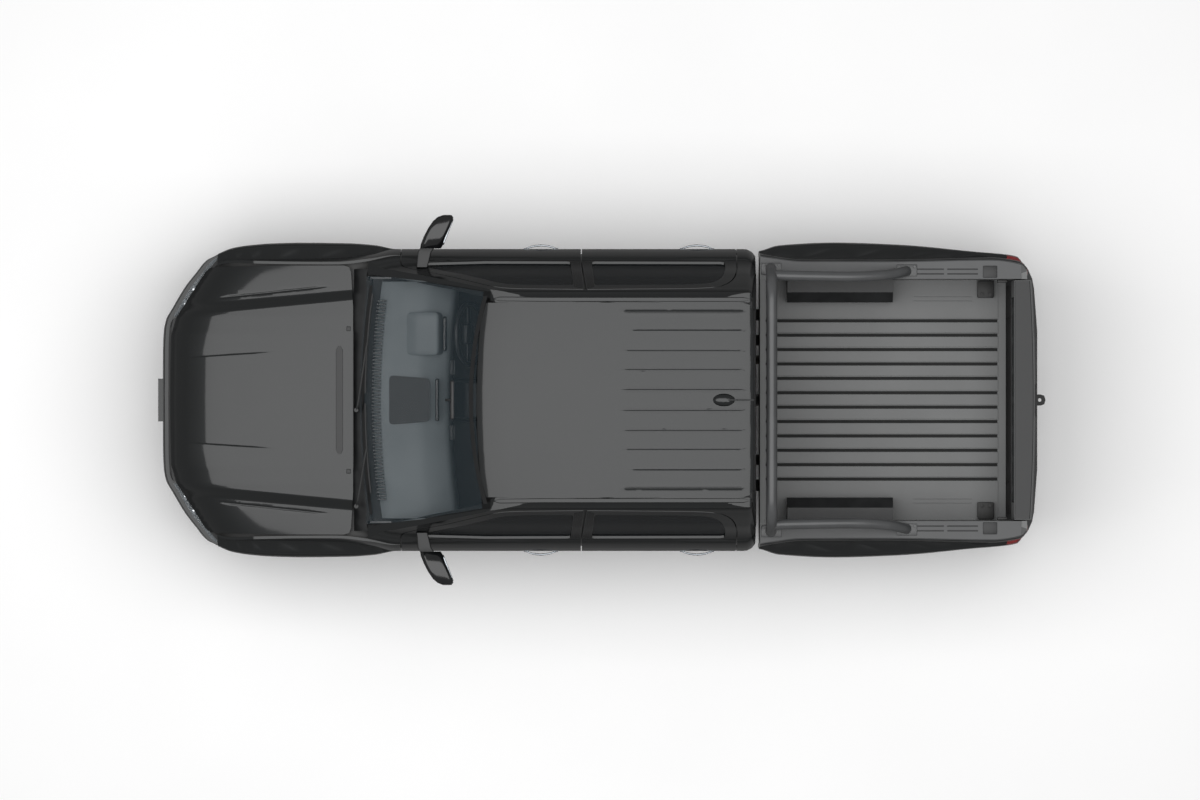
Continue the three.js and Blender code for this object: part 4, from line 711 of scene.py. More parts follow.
slots = bmesh.new()
fin_tilt = Matrix.Rotation(math.radians(12), 3, "Y")
for i in range(58):
    y = -598 + 1196 * i / 57
    fin = block((1338 - roof_sweep(y), y - 5, 1196), (1392 - roof_sweep(y), y + 5, 1205), 1.5, 1)
    bmesh.ops.rotate(fin, cent=(1365, y, 1200), matrix=fin_tilt, verts=fin.verts)
    merge_in(slots, fin)
    fin.free()
piece("screen_demister_slots", slots, gloss_black)
tray_plan = rounded([(1286, -150), (1286, 150), (1040, 130), (1040, -130)], 30)
tray = lofted([[(x, y, z) for x, y in tray_plan] for z in (1196, 1207)])
piece("dash_top_tray", tray, moulded_black)

console_side = [(1040, 700), (1040, 890), (930, 896), (840, 802)]
console_side += [(560, 792), (440, 846), (126, 846), (116, 700)]
console = lofted([
    [(x, y * squeeze, z) for x, z in rounded(console_side, 18)]
    for y, squeeze in ((-106, 0.96), (-100, 1), (100, 1), (106, 0.96))
])
piece("centre_console", console, moulded_black)
lever = rod((700, 0, 790), (690, 0, 880), 9)
merge_in(lever, block((662, -24, 876), (722, 24, 912), 12, 3))
piece("gear_selector", lever, gloss_black)

# ------------------------------------------------------------------------------------------------
# Steering wheel: a foam-moulded rim wrapped in stitched leather on a cast frame with three spokes,
# a padded boss in the middle, splined to the column.
# ------------------------------------------------------------------------------------------------
WHEEL_CENTRE = (800, DRIVER_Y, 1074)
COLUMN_TILT = math.radians(26)

# Wrapped leather: smooth and slightly waxy, with pores drawn at 2 mm.
wrapped_leather = mottled("wrapped_cow_leather", 0x17181A, 0x222325, 50, (0.35, 0.5), 2, 0.1)
rim_section = bmesh.new()
bmesh.ops.create_circle(rim_section, segments=14, radius=15.5)
upright = Matrix.Rotation(math.pi / 2, 3, "X")
bmesh.ops.rotate(rim_section, cent=(0, 0, 0), matrix=upright, verts=rim_section.verts)
bmesh.ops.translate(rim_section, vec=(184, 0, 0), verts=rim_section.verts)
bmesh.ops.spin(
    rim_section, geom=rim_section.verts[:] + rim_section.edges[:], cent=(0, 0, 0), axis=(0, 0, 1),
    angle=2 * math.pi, steps=64, use_merge=True,
)
facing_out(rim_section)
merge_in(rim_section, block((-62, -46, -36), (62, 46, 6), 16, 4))
for lo, hi in (
    ((-178, -15, -20), (-50, 15, -6)),
    ((50, -15, -20), (178, 15, -6)),
    ((-20, -178, -20), (20, -40, -6)),
):
    merge_in(rim_section, block(lo, hi, 5))
column_way = Vector((-math.cos(COLUMN_TILT), 0, math.sin(COLUMN_TILT)))
across_way = Vector((0, -1, 0))
turn = Matrix((across_way, column_way.cross(across_way), column_way)).transposed().to_4x4()
bmesh.ops.transform(rim_section, matrix=Matrix.Translation(WHEEL_CENTRE) @ turn, verts=rim_section.verts)
piece(
    "steering_wheel_leather", rim_section, wrapped_leather, "steering_wheel", ["steering_wheel"],
)

# ------------------------------------------------------------------------------------------------
# Seats: woven cloth sewn over moulded foam, one pad for each cushion, back and head rest, on a
# steel frame under a moulded base. Channels are sewn in where the panels of cloth meet.
# ------------------------------------------------------------------------------------------------
# Woven automotive cloth: dark grey, matt, with a soft sheen. The 0.9 mm yarn is drawn at 4 mm.
seat_cloth = mottled("woven_polyester_cloth", 0x24272A, 0x33373B, 35, (0.85, 0.95), 4, 0.5)
cloth_tree = seat_cloth.node_tree
cloth_shader = cloth_tree.nodes["Principled BSDF"]
cloth_shader.inputs["Sheen Weight"].default_value = 0.3
cloth_shader.inputs["Sheen Roughness"].default_value = 0.5
yarn = {"Vector": add(cloth_tree, "TexCoord").outputs["Object"], "Scale": 1000 / 4 / 6.28}
yarns = []
for way in ("X", "Y"):
    wave = add(cloth_tree, "TexWave", {"bands_direction": way}, yarn)
    yarns.append(wave.outputs["Fac"])
weave = add(cloth_tree, "Math", {"operation": "MULTIPLY"})
cloth_tree.links.new(yarns[0], weave.inputs[0])
cloth_tree.links.new(yarns[1], weave.inputs[1])
relief = {"Height": weave.outputs["Value"], "Strength": 0.6, "Distance": 0.0006}
raised = add(cloth_tree, "Bump", inputs=relief)
cloth_tree.links.new(raised.outputs["Normal"], cloth_shader.inputs["Normal"])


def stuffed(shape, cap_mm, voxel_mm=11, pressure=4.0):
    """Blows a closed cover up against its own cloth, and returns it as a bmesh in millimetres."""
    bmesh.ops.scale(shape, vec=(MM, MM, MM), verts=shape.verts)
    mesh = bpy.data.meshes.new("cover")
    shape.to_mesh(mesh)
    shape.free()
    cover = bpy.data.objects.new("cover", mesh)
    bpy.context.collection.objects.link(cover)
    remesh = cover.modifiers.new("remesh", "REMESH")
    remesh.mode = "VOXEL"
    remesh.voxel_size = voxel_mm * MM
    graph = bpy.context.evaluated_depsgraph_get()
    start = bpy.data.meshes.new_from_object(cover.evaluated_get(graph))
    cover.modifiers.remove(remesh)
    cover.data = start
    rest = [v.co.copy() for v in start.vertices]
    cloth = cover.modifiers.new("cloth", "CLOTH")
    cloth.settings.use_pressure = True
    cloth.settings.uniform_pressure_force = pressure
    cloth.settings.effector_weights.gravity = 0
    cloth.settings.quality = 5
    cloth.point_cache.frame_start = 1
    cloth.point_cache.frame_end = 20
    for frame_number in range(1, 21):
        bpy.context.scene.frame_set(frame_number)
    graph = bpy.context.evaluated_depsgraph_get()
    blown = bpy.data.meshes.new_from_object(cover.evaluated_get(graph))
    for vert, before in zip(blown.vertices, rest):
        way = vert.co - before
        if way.length > cap_mm * MM:
            vert.co = before + way.normalized() * cap_mm * MM
    bpy.context.scene.frame_set(1)
    made = bmesh.new()
    made.from_mesh(blown)
    bpy.data.objects.remove(cover)
    bmesh.ops.scale(made, vec=(1 / MM, 1 / MM, 1 / MM), verts=made.verts)
    for _ in range(2):
        bmesh.ops.smooth_vert(
            made, verts=made.verts, factor=0.5, use_axis_x=True, use_axis_y=True, use_axis_z=True
        )
    return made


def cushion(section, half_width, side_pull, bevel=26):
    """A cushion's cover before it is stuffed: a side outline carried across, narrower at its ends."""
    rings = []
    for y, size in ((-1, 0.9), (-0.94, 0.98), (-0.4, 1), (0.4, 1), (0.94, 0.98), (1, 0.9)):
        middle = [sum(point[i] for point in section) / len(section) for i in (0, 1)]
        rings.append([
            (
                middle[0] + (x - middle[0]) * size,
                y * half_width,
                middle[1] + (z - middle[1]) * size - side_pull * abs(y),
            )
            for x, z in rounded(section, bevel)
        ])
    return lofted(rings)


def sew_channels(shape, lines, depth, half_width=11):
    """Presses sewn channels in along lines of constant Y on the side that faces up or forward."""
    for vert in shape.verts:
        for line in lines:
            near = 1 - smoothstep(abs(vert.co.y - line), 0, half_width)
            if near > 0 and vert.normal.z + vert.normal.x > 0.3:
                vert.co -= vert.normal * depth * near


SEAT_Y = 400
front_parts = {
    "cushion": (
        [(610, 735), (618, 850), (560, 882), (236, 848), (120, 800), (110, 735)], 226, 5, (-120, 120),
    ),
    "backrest": (
        [(226, 866), (160, 960), (24, 1312), (-66, 1312), (44, 860), (90, 800)], 216, 0, (-118, 118),
    ),
    "head_rest": ([(-8, 1362), (-26, 1478), (-76, 1478), (-76, 1362)], 104, 0, ()),
}
for part, (section, half, pull, channels) in front_parts.items():
    pad = stuffed(cushion(section, half, pull), 14)
    pad.normal_update()
    sew_channels(pad, channels, 9)
    for side, sign in SIDES.items():
        placed = bmesh.new()
        merge_in(placed, pad, Matrix.Translation((0, sign * SEAT_Y, 0)))
        nodes = [f"front_seat_{side}"] if part == "cushion" else []
        made = piece(f"front_{part}_{side}", placed, seat_cloth, "root", nodes, 60)
    pad.free()

for side, sign in SIDES.items():
    y = sign * SEAT_Y
    frame_part = block((150, y - 205, 600), (560, y + 205, 728), 18)
    for rail in (-170, 170):
        merge_in(frame_part, block((130, y + rail - 22, 551), (600, y + rail + 22, 604), 5))
    for post in (-38, 38):
        merge_in(frame_part, rod((-28, y + post, 1290), (-46, y + post, 1380), 6))
    piece(f"front_seat_base_{side}", frame_part, moulded_black, "root")

bench_parts = {
    "cushion": [(-362, 755), (-362, 868), (-410, 892), (-690, 872), (-720, 755)],
    "backrest": [(-700, 880), (-752, 1318), (-812, 1318), (-838, 860)],
}
for part, section in bench_parts.items():
    pad = stuffed(cushion(section, 616, 0), 12, 13)
    pad.normal_update()
    sew_channels(pad, (-380, -150, 150, 380), 9)
    nodes = ["rear_bench"] if part == "cushion" else []
    made = piece(f"rear_bench_{part}", pad, seat_cloth, "root", nodes, 60)
rest = stuffed(cushion([(-762, 1356), (-760, 1462), (-800, 1462), (-806, 1356)], 104, 0), 8)
for number, y in enumerate((-355, 0, 355)):
    placed = bmesh.new()
    merge_in(placed, rest, Matrix.Translation((0, y, 0)))
    made = piece(f"rear_head_rest_{number + 1}", placed, seat_cloth, "root", crease=60)
rest.free()
plinth = block((-700, -600, 552), (-420, 600, 742), 14)
piece("rear_bench_plinth", plinth, moulded_black)

# ------------------------------------------------------------------------------------------------
# Glass: a laminated screen bonded to the cab, toughened panes in the doors and the rear wall, and
# printed black bands along the screen's top and foot over the adhesive, with a mirror below the top.
# ------------------------------------------------------------------------------------------------
SCREEN_BASE_Z = 1222


def screen_x(y, z):
    top = 1748 - 34 * (y / 650) ** 2
    share = (z - SCREEN_BASE_Z) / (top - SCREEN_BASE_Z)
    return 1455 + (759 - 1455) * share + 88 * share * (1 - share) - roof_sweep(y)


# Float glass with a grey-green tint: clear head on, and closing to a mirror at a low angle.
def float_glass(name, tint, clear, closed):
    made = mottled(name, tint, tint, 400, (0.02, 0.04), 80, 0.002)
    tree = made.node_tree
    shader = tree.nodes["Principled BSDF"]
    edge_on = add(tree, "LayerWeight", inputs={"Blend": 0.35}).outputs["Facing"]
    cover = add(tree, "MapRange", inputs={"Value": edge_on, "To Min": clear, "To Max": closed})
    tree.links.new(cover.outputs["Result"], shader.inputs["Alpha"])
    shader.inputs["IOR"].default_value = 1.45
    shader.inputs["Specular IOR Level"].default_value = 0.35
    return made


screen_glass = float_glass("laminated_float_glass", 0x39444A, 0.1, 0.6)
pane_glass = float_glass("toughened_privacy_glass", 0x101315, 0.66, 0.98)
screen = panel_copy("windscreen")
slice_evenly(screen, (1, 2), 40)
screen_rows = [1204 + 144 * i for i in range(5)]
screen_columns = [-760 + 1520 * i / 6 for i in range(7)]
normals = lay_on(screen, FRONT, screen_columns, screen_rows, screen_x, screen_x)
panel("laminated_screen", "windscreen", screen, screen_glass, "root", normals)

REAR_DOOR_XS = [-830, 180]
FRONT_DOOR_XS = [60, 700, 960, 1240]
for side in SIDES:
    for door, columns in (("front", FRONT_DOOR_XS), ("rear", REAR_DOOR_XS)):
        node = f"{door}_door_glass_{side}"
        pane = panel_copy(node)
        slice_evenly(pane, (0, 2), 40)
        normals = lay_on(pane, SIDE, columns, SKIN_ROWS, side_skin, side_skin)
        body = f"{door}_door_{side}"
        panel(f"{door}_door_pane_{side}", node, pane, pane_glass, body, normals)
frame["nodes"]["rear_screen"].material_slots[0].material = pane_glass

frit = bmesh.new()
for i in range(40):
    y0, y1 = -690 + 1380 * i / 40, -690 + 1380 * (i + 1) / 40
    for low, high, width in ((1226, 1240, 1), (1722, 1738, 0.9)):
        frit.faces.new([
            frit.verts.new((screen_x(y * width, z) + 0.5, y * width, z))
            for y, z in ((y0, low), (y1, low), (y1, high), (y0, high))
        ])
facing_out(frit)
bmesh.ops.solidify(frit, geom=frit.faces[:], thickness=0.6)
# Printed ceramic enamel: flat black.
printed_enamel = mottled("fired_ceramic_enamel", 0x08090A, 0x0D0E0F, 60, (0.25, 0.35), 4, 0.005)
piece("screen_frit", frit, printed_enamel, crease=50)
mirror_arm = rod((938, 0, 1668), (905, 0, 1650), 8)
merge_in(mirror_arm, block((884, -118, 1600), (912, 118, 1658), 12, 3))
piece("interior_mirror", mirror_arm, moulded_black)

# ------------------------------------------------------------------------------------------------
# Doors: pressed outer and inner skins hemmed together, painted with the body and trimmed inside,
# hinged at their front edges. A pull handle stands on each, and a mirror on each front door.
# ------------------------------------------------------------------------------------------------
def second_finish(made, finish, chosen):
    """Adds a finish to a piece, for the faces that a test picks."""
    made.data.materials.append(finish)
    for face in made.data.polygons:
        if chosen(face):
            face.material_index = len(made.data.materials) - 1


for side, sign in SIDES.items():
    for door, columns in (("front", FRONT_DOOR_XS), ("rear", REAR_DOOR_XS)):
        node = f"{door}_door_{side}"
        skin = panel_copy(node)
        slice_evenly(skin, (0, 2))
        normals = lay_on(skin, SIDE, columns, SKIN_ROWS, side_skin, side_skin)
        made = panel(f"{door}_door_panel_{side}", node, skin, body_paint, node, normals)
        second_finish(made, moulded_black, lambda face: face.normal.y * sign < -0.6)

HANDLE_Z = 1010
HANDLE_SWELL = [(-98, 0.35), (-84, 0.75), (-50, 0.95), (0, 1.0), (50, 0.95), (84, 0.75), (98, 0.35)]
# Chrome on moulded plastic, with the faint blue of trivalent plating.
plated_trim = mottled("chromium_plated_plastic", 0x84888C, 0x94989C, 60, (0.12, 0.2), 9, 0.01, metallic=1.0)
for door, x in (("front", 372), ("rear", -572)):
    for side, sign in SIDES.items():
        out = side_skin(x, HANDLE_Z)
        rings = []
        for along, swell in HANDLE_SWELL:
            bow = 28 * (1 - (along / 110) ** 2)
            ring = []
            for k in range(10):
                angle = 2 * math.pi * k / 10
                y = out + bow - 6 + 6 * math.cos(angle) * swell
                ring.append((x + along, sign * y, HANDLE_Z + 15 * math.sin(angle) * swell))
            rings.append(ring)
        grip = lofted(rings)
        for end in (-88, 88):
            low = (x + end - 16, sign * out - 6, HANDLE_Z - 13)
            high = (x + end + 16, sign * out + 6, HANDLE_Z + 13)
            merge_in(grip, block(low, high, 5))
        piece(f"{door}_door_handle_{side}", grip, plated_trim, f"{door}_door_{side}")

for side, sign in SIDES.items():
    shell_rings = []
    for along, lead, trail, low, high in (
        (0.0, 1096, 972, 1290, 1406), (0.12, 1092, 958, 1270, 1430), (0.35, 1074, 940, 1260, 1442),
        (0.6, 1048, 918, 1262, 1446), (0.82, 1018, 900, 1272, 1444), (0.94, 990, 898, 1290, 1434),
        (1.0, 960, 908, 1312, 1412),
    ):
        y = 912 + (1112 - 912) * along
        plan = rounded([(lead, low), (lead, high), (trail, high), (trail, low)], 34, 5)
        shell_rings.append([(x, sign * y, z) for x, z in plan])
    body = f"front_door_{side}"
    shell = lofted(shell_rings)
    piece(f"mirror_shell_{side}", shell, gloss_black, body, [f"mirror_{side}"])
    arm_rings = []
    for y, lead, trail in ((side_skin(1080, 1304) - 2, 1120, 1052), (890, 1112, 1030), (925, 1092, 1004)):
        plan = rounded([(lead, 1284), (lead, 1324), (trail, 1324), (trail, 1284)], 12)
        arm_rings.append([(x, sign * y, z) for x, z in plan])
    piece(f"mirror_arm_{side}", lofted(arm_rings), moulded_black, body)
    plan = rounded([(932, 1284), (932, 1424), (1088, 1420), (1080, 1296)], 22, 4)
    glass = lofted([[(x - 0.391 * (y - 932), sign * y, z) for y, z in plan] for x in (962, 956)])
    piece(f"mirror_glass_{side}", glass, plated_trim, body)

for side, sign in SIDES.items():
    for door, shape in (
        ("front", [(135, 1272), (115, 1716), (170, 1690), (190, 1274)]),
        ("rear", [(68, 1274), (50, 1692), (92, 1716), (121, 1272)]),
    ):
        cover = bmesh.new()
        for i in range(12):
            low, high = i / 12, (i + 1) / 12
            quad = []
            for share, edge in ((low, 0), (high, 0), (high, 1), (low, 1)):
                a = shape[0] if edge == 0 else shape[3]
                b = shape[1] if edge == 0 else shape[2]
                x = a[0] + (b[0] - a[0]) * share
                z = a[1] + (b[1] - a[1]) * share
                quad.append((x, sign * (side_skin(x, z) + 0.6), z))
            cover.faces.new([cover.verts.new(point) for point in quad])
        bmesh.ops.remove_doubles(cover, verts=cover.verts, dist=0.01)
        bmesh.ops.recalc_face_normals(cover, faces=cover.faces)
        bmesh.ops.solidify(cover, geom=cover.faces[:], thickness=1.0)
        name, body = f"pillar_cover_{door}_{side}", f"{door}_door_{side}"
        piece(name, cover, gloss_black, body, crease=50)

# ------------------------------------------------------------------------------------------------
# Load bed: pressed steel sides and a ribbed floor, under a sprayed liner inside and body paint
# outside. Moulded caps are clipped over the rails, and latches stand at the rear corners.
# ------------------------------------------------------------------------------------------------
BED_XS = [-2560, -2513, -2465, -2253, -2030, -1700, -1400, -1070, -940]
BED_ZS = [540, 700, 905, 946, 966, 985, 1100, 1270, 1302]
CHANNEL_PITCH = 87.4

# Sprayed polyurea liner: dark grey and matt, pebbled at about 2 mm, drawn at 5 mm.
sprayed_liner = mottled("sprayed_polyurea_liner", 0x5C5D5D, 0x646565, 420, (0.45, 0.55), 5, 0.3)
# Moulded cap plastic: dark grey with a fine grain, drawn paler than the trim as painted light on the rail
# tops.
lit_cap_plastic = mottled("grained_cap_moulding_lit", 0x3C3D3E, 0x454647, 300, (0.4, 0.5), 1.5, 0.05)
# Dark strips laid along the bottoms of the floor's channels: painted shade.
channel_shade = mottled("painted_channel_shade", 0x111212, 0x1C1C1B, 60, (0.8, 0.95), 4, 0.2)
channels = bmesh.new()
beads = bmesh.new()
# Each channel gets a dark strip at its bottom as painted shade, and a liner bead beside it.
for i in range(12):
    y = (i - 5.5) * CHANNEL_PITCH
    merge_in(channels, block((-2398, y - 7, 791.2), (-984, y + 7, 792.4)))
    merge_in(beads, block((-2392, y - 17, 799.2), (-992, y - 10, 803), 1.4, 1))
piece("floor_channel_shade_strips", channels, channel_shade)
piece("floor_channel_beads", beads, sprayed_liner)
for side, sign in SIDES.items():
    skin = panel_copy(f"bed_side_{side}")
    slice_evenly(skin, (0, 2))
    normals = lay_on(
        skin, SIDE, BED_XS, BED_ZS, side_skin, pressed_side,
        lambda off, place: smoothstep(abs(place.y), 752, 800),
    )
    node = f"bed_side_{side}"
    made = panel(f"bed_side_panel_{side}", node, skin, body_paint, "root", normals)

    def inside(face):
        low_inner = abs(face.center.y) < 0.86 and face.center.z < 1.27 and face.normal.y * sign < 0.5
        return abs(face.center.y) < 0.775 or low_inner

    # The faces over the wheel house take the black moulding: a black cover, drawn this dark partly as painted
    # shade under the sports bar's leg and the arch.
    def wheel_house_in_shade(face):
        near = abs(face.center.x / MM - REAR_AXLE_X) < 326 and 0.81 < face.center.z < 1.0
        return near and abs(face.center.y) < 0.86 and face.material_index == 1

    second_finish(made, sprayed_liner, inside)
    second_finish(made, moulded_black, wheel_house_in_shade)
    rings = []
    for i in range(29):
        angle = math.radians(22 + 136 * i / 28)
        x, z = REAR_AXLE_X + 456 * math.cos(angle), AXLE_Z + 456 * math.sin(angle)
        lip = side_skin(x, max(z, 640)) - 34
        tuck = (REAR_AXLE_X + 450 * math.cos(angle), AXLE_Z + 450 * math.sin(angle))
        outline = ((x, 640, z), (x, lip, z), (tuck[0], lip, tuck[1]), (tuck[0], 640, tuck[1]))
        rings.append([(a, sign * b, c) for a, b, c in outline])
    piece(f"rear_arch_liner_{side}", lofted(rings), moulded_black)
frame["nodes"]["bed_floor"].material_slots[0].material = sprayed_liner

for side, sign in SIDES.items():
    rings = []
    for i in range(33):
        x = -952 - (2520 - 952) * i / 32
        outer = side_skin(x, 1290) - 5
        inner = 727 if x < -990 else 727 + 100 * (x + 990) / 38
        over = ((inner, 1299), (inner + 2, 1306), (outer - 6, 1306), (outer, 1299))
        rings.append([(x, sign * y, z) for y, z in over])
    # The caps take the paler plastic as painted light on their tops.
    piece(f"rail_cap_{side}", lofted(rings), lit_cap_plastic)
    ridges = bmesh.new()
    for y in (759, 787):
        for start, end in ((-1890, -2055), (-2075, -2260)):
            merge_in(ridges, block((end, sign * y - 4, 1305), (start, sign * y + 4, 1309), 2, 1))
    merge_in(ridges, block((-2375, sign * 772 - 36, 1305), (-2290, sign * 772 + 36, 1310), 4))
    piece(f"rail_cap_ridges_{side}", ridges, moulded_black)
    near, far = sorted((sign * 500, sign * 762))
    gusset = block((-2500, near, 596), (-2420, far, 638), 4)
    piece(f"bed_corner_gusset_{side}", gusset, chassis_paint)
    latch = block((-2375, sign * 672 - 52, 812), (-2275, sign * 672 + 52, 838), 6)
    merge_in(latch, block((-2440, sign * 716 - 10, 1150), (-2380, sign * 716 + 8, 1240), 5))
    for x in (-2300, -2350):
        merge_in(latch, rod((x, sign * 640, 838), (x, sign * 640, 858), 9))
    piece(f"lashing_bracket_{side}", latch, chassis_paint)
    slot_rim = bmesh.new()
    for y0, y1 in ((598, 603), (623, 628)):
        near, far = sorted((sign * y0, sign * y1))
        merge_in(slot_rim, block((-2241, near, 799), (-1888, far, 803), 1, 1))
    piece(f"floor_bead_{side}", slot_rim, sprayed_liner)

# ------------------------------------------------------------------------------------------------
# Tailgate: an outer skin with a soft bow hemmed over a channelled inner panel, hung on pins at its
# lower corners, with a moulded cap on top and a pull handle behind.
# ------------------------------------------------------------------------------------------------
TAILGATE_X = -2480
TAILGATE_AXIS_Z = 790
gate_swell = curve_through([(-24, 70), (0, 84), (90, 100), (300, 112), (430, 108), (512, 98)])


def gate_skin(y, z):
    return TAILGATE_X - gate_swell(z - TAILGATE_AXIS_Z) - 22 * (1 - (y / 721) ** 2)


def shaped_gate(y, z):
    """The gate's skin with a shallow pressed field in its middle."""
    inside = smoothstep(z, 900, 922) * smoothstep(-z, -1180, -1158) * smoothstep(-abs(y), -560, -536)
    return gate_skin(y, z) + 7 * inside


gate = panel_copy("tailgate")
slice_evenly(gate, (1, 2))
gate_rows = [TAILGATE_AXIS_Z + up for up in (-24, 0, 90, 300, 430, 512)]
gate_columns = [-721 + 1442 * i / 6 for i in range(7)]
normals = lay_on(gate, FRONT, gate_columns, gate_rows, gate_skin, shaped_gate, lambda off, place: off < 8)
for index, normal in normals.items():
    normals[index] = -normal
made = panel("tailgate_skin", "tailgate", gate, body_paint, "tailgate", normals)
second_finish(made, sprayed_liner, lambda face: face.normal.x > 0.6)
cap_rings = []
for i in range(25):
    y = -716 + 1432 * i / 24
    back = gate_skin(y, 1296) + 5
    cap_rings.append([(x, y, z) for x, z in ((-2484, 1301), (-2486, 1307), (back + 5, 1307), (back, 1301))])
piece("tailgate_cap", lofted(cap_rings), moulded_black, "tailgate")
pull = block((-2612, -110, 1150), (-2600, 110, 1212), 5)
merge_in(pull, block((-2616, -96, 1184), (-2604, 96, 1206), 4))
piece("tailgate_handle", pull, gloss_black, "tailgate")
ribs = bmesh.new()
for i in range(7):
    y = -540 + 180 * i
    merge_in(ribs, block((-2504, y - 22, 884), (-2494, y + 22, 1226), 4))
piece("tailgate_inner_ribs", ribs, sprayed_liner, "tailgate")

# ------------------------------------------------------------------------------------------------
# Sports bar: bent steel tube of about 65 mm, a hoop behind the cab with a leg down each rail,
# coped and welded, on flanged feet bolted through the rail caps, powder coated black.
# ------------------------------------------------------------------------------------------------
BAR_X = -1013
BAR_RADIUS = 33
# Powder coat: even satin black with the very fine texture of fused powder.
powder_coat = mottled("powder_coated_tube", 0x3B3C3D, 0x444546, 200, (0.28, 0.38), 2.5, 0.03)


def bent_tube(points, radius, steps, sides=20):
    """A round tube whose middle runs smoothly through the points."""
    route = []
    ends = [Vector(points[0]) * 2 - Vector(points[1])] + [Vector(p) for p in points]
    ends.append(Vector(points[-1]) * 2 - Vector(points[-2]))
    for i in range(1, len(ends) - 2):
        before, start, end, after = ends[i - 1 : i + 3]
        for k in range(steps):
            t = k / steps
            route.append(
                0.5 * (2 * start + (end - before) * t + (2 * before - 5 * start + 4 * end - after) * t**2
                       + (3 * start - before - 3 * end + after) * t**3)
            )
    route.append(Vector(points[-1]))
    rings = []
    side_way = None
    for i, place in enumerate(route):
        ahead = (route[min(i + 1, len(route) - 1)] - route[max(i - 1, 0)]).normalized()
        side_way = ahead.orthogonal() if side_way is None else side_way - ahead * side_way.dot(ahead)
        side_way.normalize()
        up_way = ahead.cross(side_way)
        turns = [2 * math.pi * k / sides for k in range(sides)]
        rings.append([place + radius * (math.cos(a) * side_way + math.sin(a) * up_way) for a in turns])
    return lofted(rings)


foot_z = BED_TOP_Z + 6
half_hoop = [(792, foot_z), (784, 1400), (762, 1520), (712, 1604), (640, 1644), (500, 1656), (0, 1660)]
hoop_points = [(BAR_X, y, z) for y, z in half_hoop] + [(BAR_X, -y, z) for y, z in half_hoop[-2::-1]]
bar = bent_tube(hoop_points, BAR_RADIUS, 5)
for sign in SIDES.values():
    leg = [(-1015, 748, 1547), (-1180, 744, 1536), (-1500, 740, 1484)]
    leg += [(-1700, 750, 1420), (-1800, 768, 1352), (-1832, 776, foot_z)]
    merge_in(bar, bent_tube([(x, sign * y, z) for x, y, z in leg], BAR_RADIUS - 2, 5))
    for x, y in ((BAR_X - 4, 790), (-1832, 780)):
        merge_in(bar, block((x - 62, sign * y - 36, foot_z - 4), (x + 62, sign * y + 36, foot_z + 6), 5))
        for corner in (-46, 46):
            bolt = (x + corner, sign * y - 22)
            merge_in(bar, rod((*bolt, foot_z + 5), (*bolt, foot_z + 14), 8, 6))
piece("sports_bar_tubes", bar, powder_coat, "root", ["sports_bar"])

# ------------------------------------------------------------------------------------------------
# Rear lamps and bumper: red lenses welded to their housings in the corners of the bed, and a bumper
# under a black moulded cover, bolted to the frame's ends.
# ------------------------------------------------------------------------------------------------
# Red moulded lens with a smooth face over faint optics.
red_lens = mottled("moulded_red_lens", 0x6E0A0C, 0x8E1013, 14, (0.06, 0.1), 12, 0.02)
red_lens.node_tree.nodes["Principled BSDF"].inputs["Coat Weight"].default_value = 1.0
for side, sign in SIDES.items():
    lamp = panel_copy(f"tail_lamp_{side}")
    slice_evenly(lamp, (0, 2))
    normals = lay_on(lamp, SIDE, BED_XS, BED_ZS, side_skin, side_skin)
    panel(f"tail_lamp_lens_{side}", f"tail_lamp_{side}", lamp, red_lens, "root", normals)
frame["nodes"]["rear_bumper"].material_slots[0].material = moulded_black

# ------------------------------------------------------------------------------------------------
# Hood: a pressed outer skin hemmed over a stiffener, with a raised middle between two ramps and a
# groove outside each, hinged at the back. Washer nozzles stand on it near the screen.
# ------------------------------------------------------------------------------------------------
HOOD_LIP_Z = 985
hood_front = curve_through(
    [(0, 2617), (390, 2611), (440, 2596), (500, 2580), (536, 2557), (774, 2406), (852, 2350)]
)
hood_rise = curve_through(
    [(-60, -60), (0, 0), (40, 44), (120, 92), (250, 132), (400, 158), (700, 196), (1000, 222), (1300, 236)]
)
ramp_inner = curve_through([(1500, 600), (2313, 526)])


def hood_skin(x, y):
    side = abs(y)
    ramp = smoothstep(side, ramp_inner(x), ramp_inner(x) + 70)
    return HOOD_LIP_Z + hood_rise(hood_front(side) - x) - 24 * ramp - 24 * (side / 812) ** 2


def groove_y(x):
    return 681 - (x - 1710) * 60 / 570


def crease_y(x):
    return 300 - (x - 1950) * 25 / 385


def shaped_hood(x, y):
    """The hood's skin with its outer grooves and the two creases that fade towards the screen."""
    side = abs(y)
    groove = 1 - smoothstep(abs(side - groove_y(x)), 0, 11)
    groove *= smoothstep(x, 1640, 1760) * smoothstep(-x, -2330, -2250)
    step = smoothstep(side, crease_y(x) - 14, crease_y(x))
    step *= smoothstep(-x, -2600, -2320)
    step *= smoothstep(x, 1900, 2200)
    fade = 1 - smoothstep(side, crease_y(x), crease_y(x) + 120)
    return hood_skin(x, y) - 4 * groove - 5 * step * fade


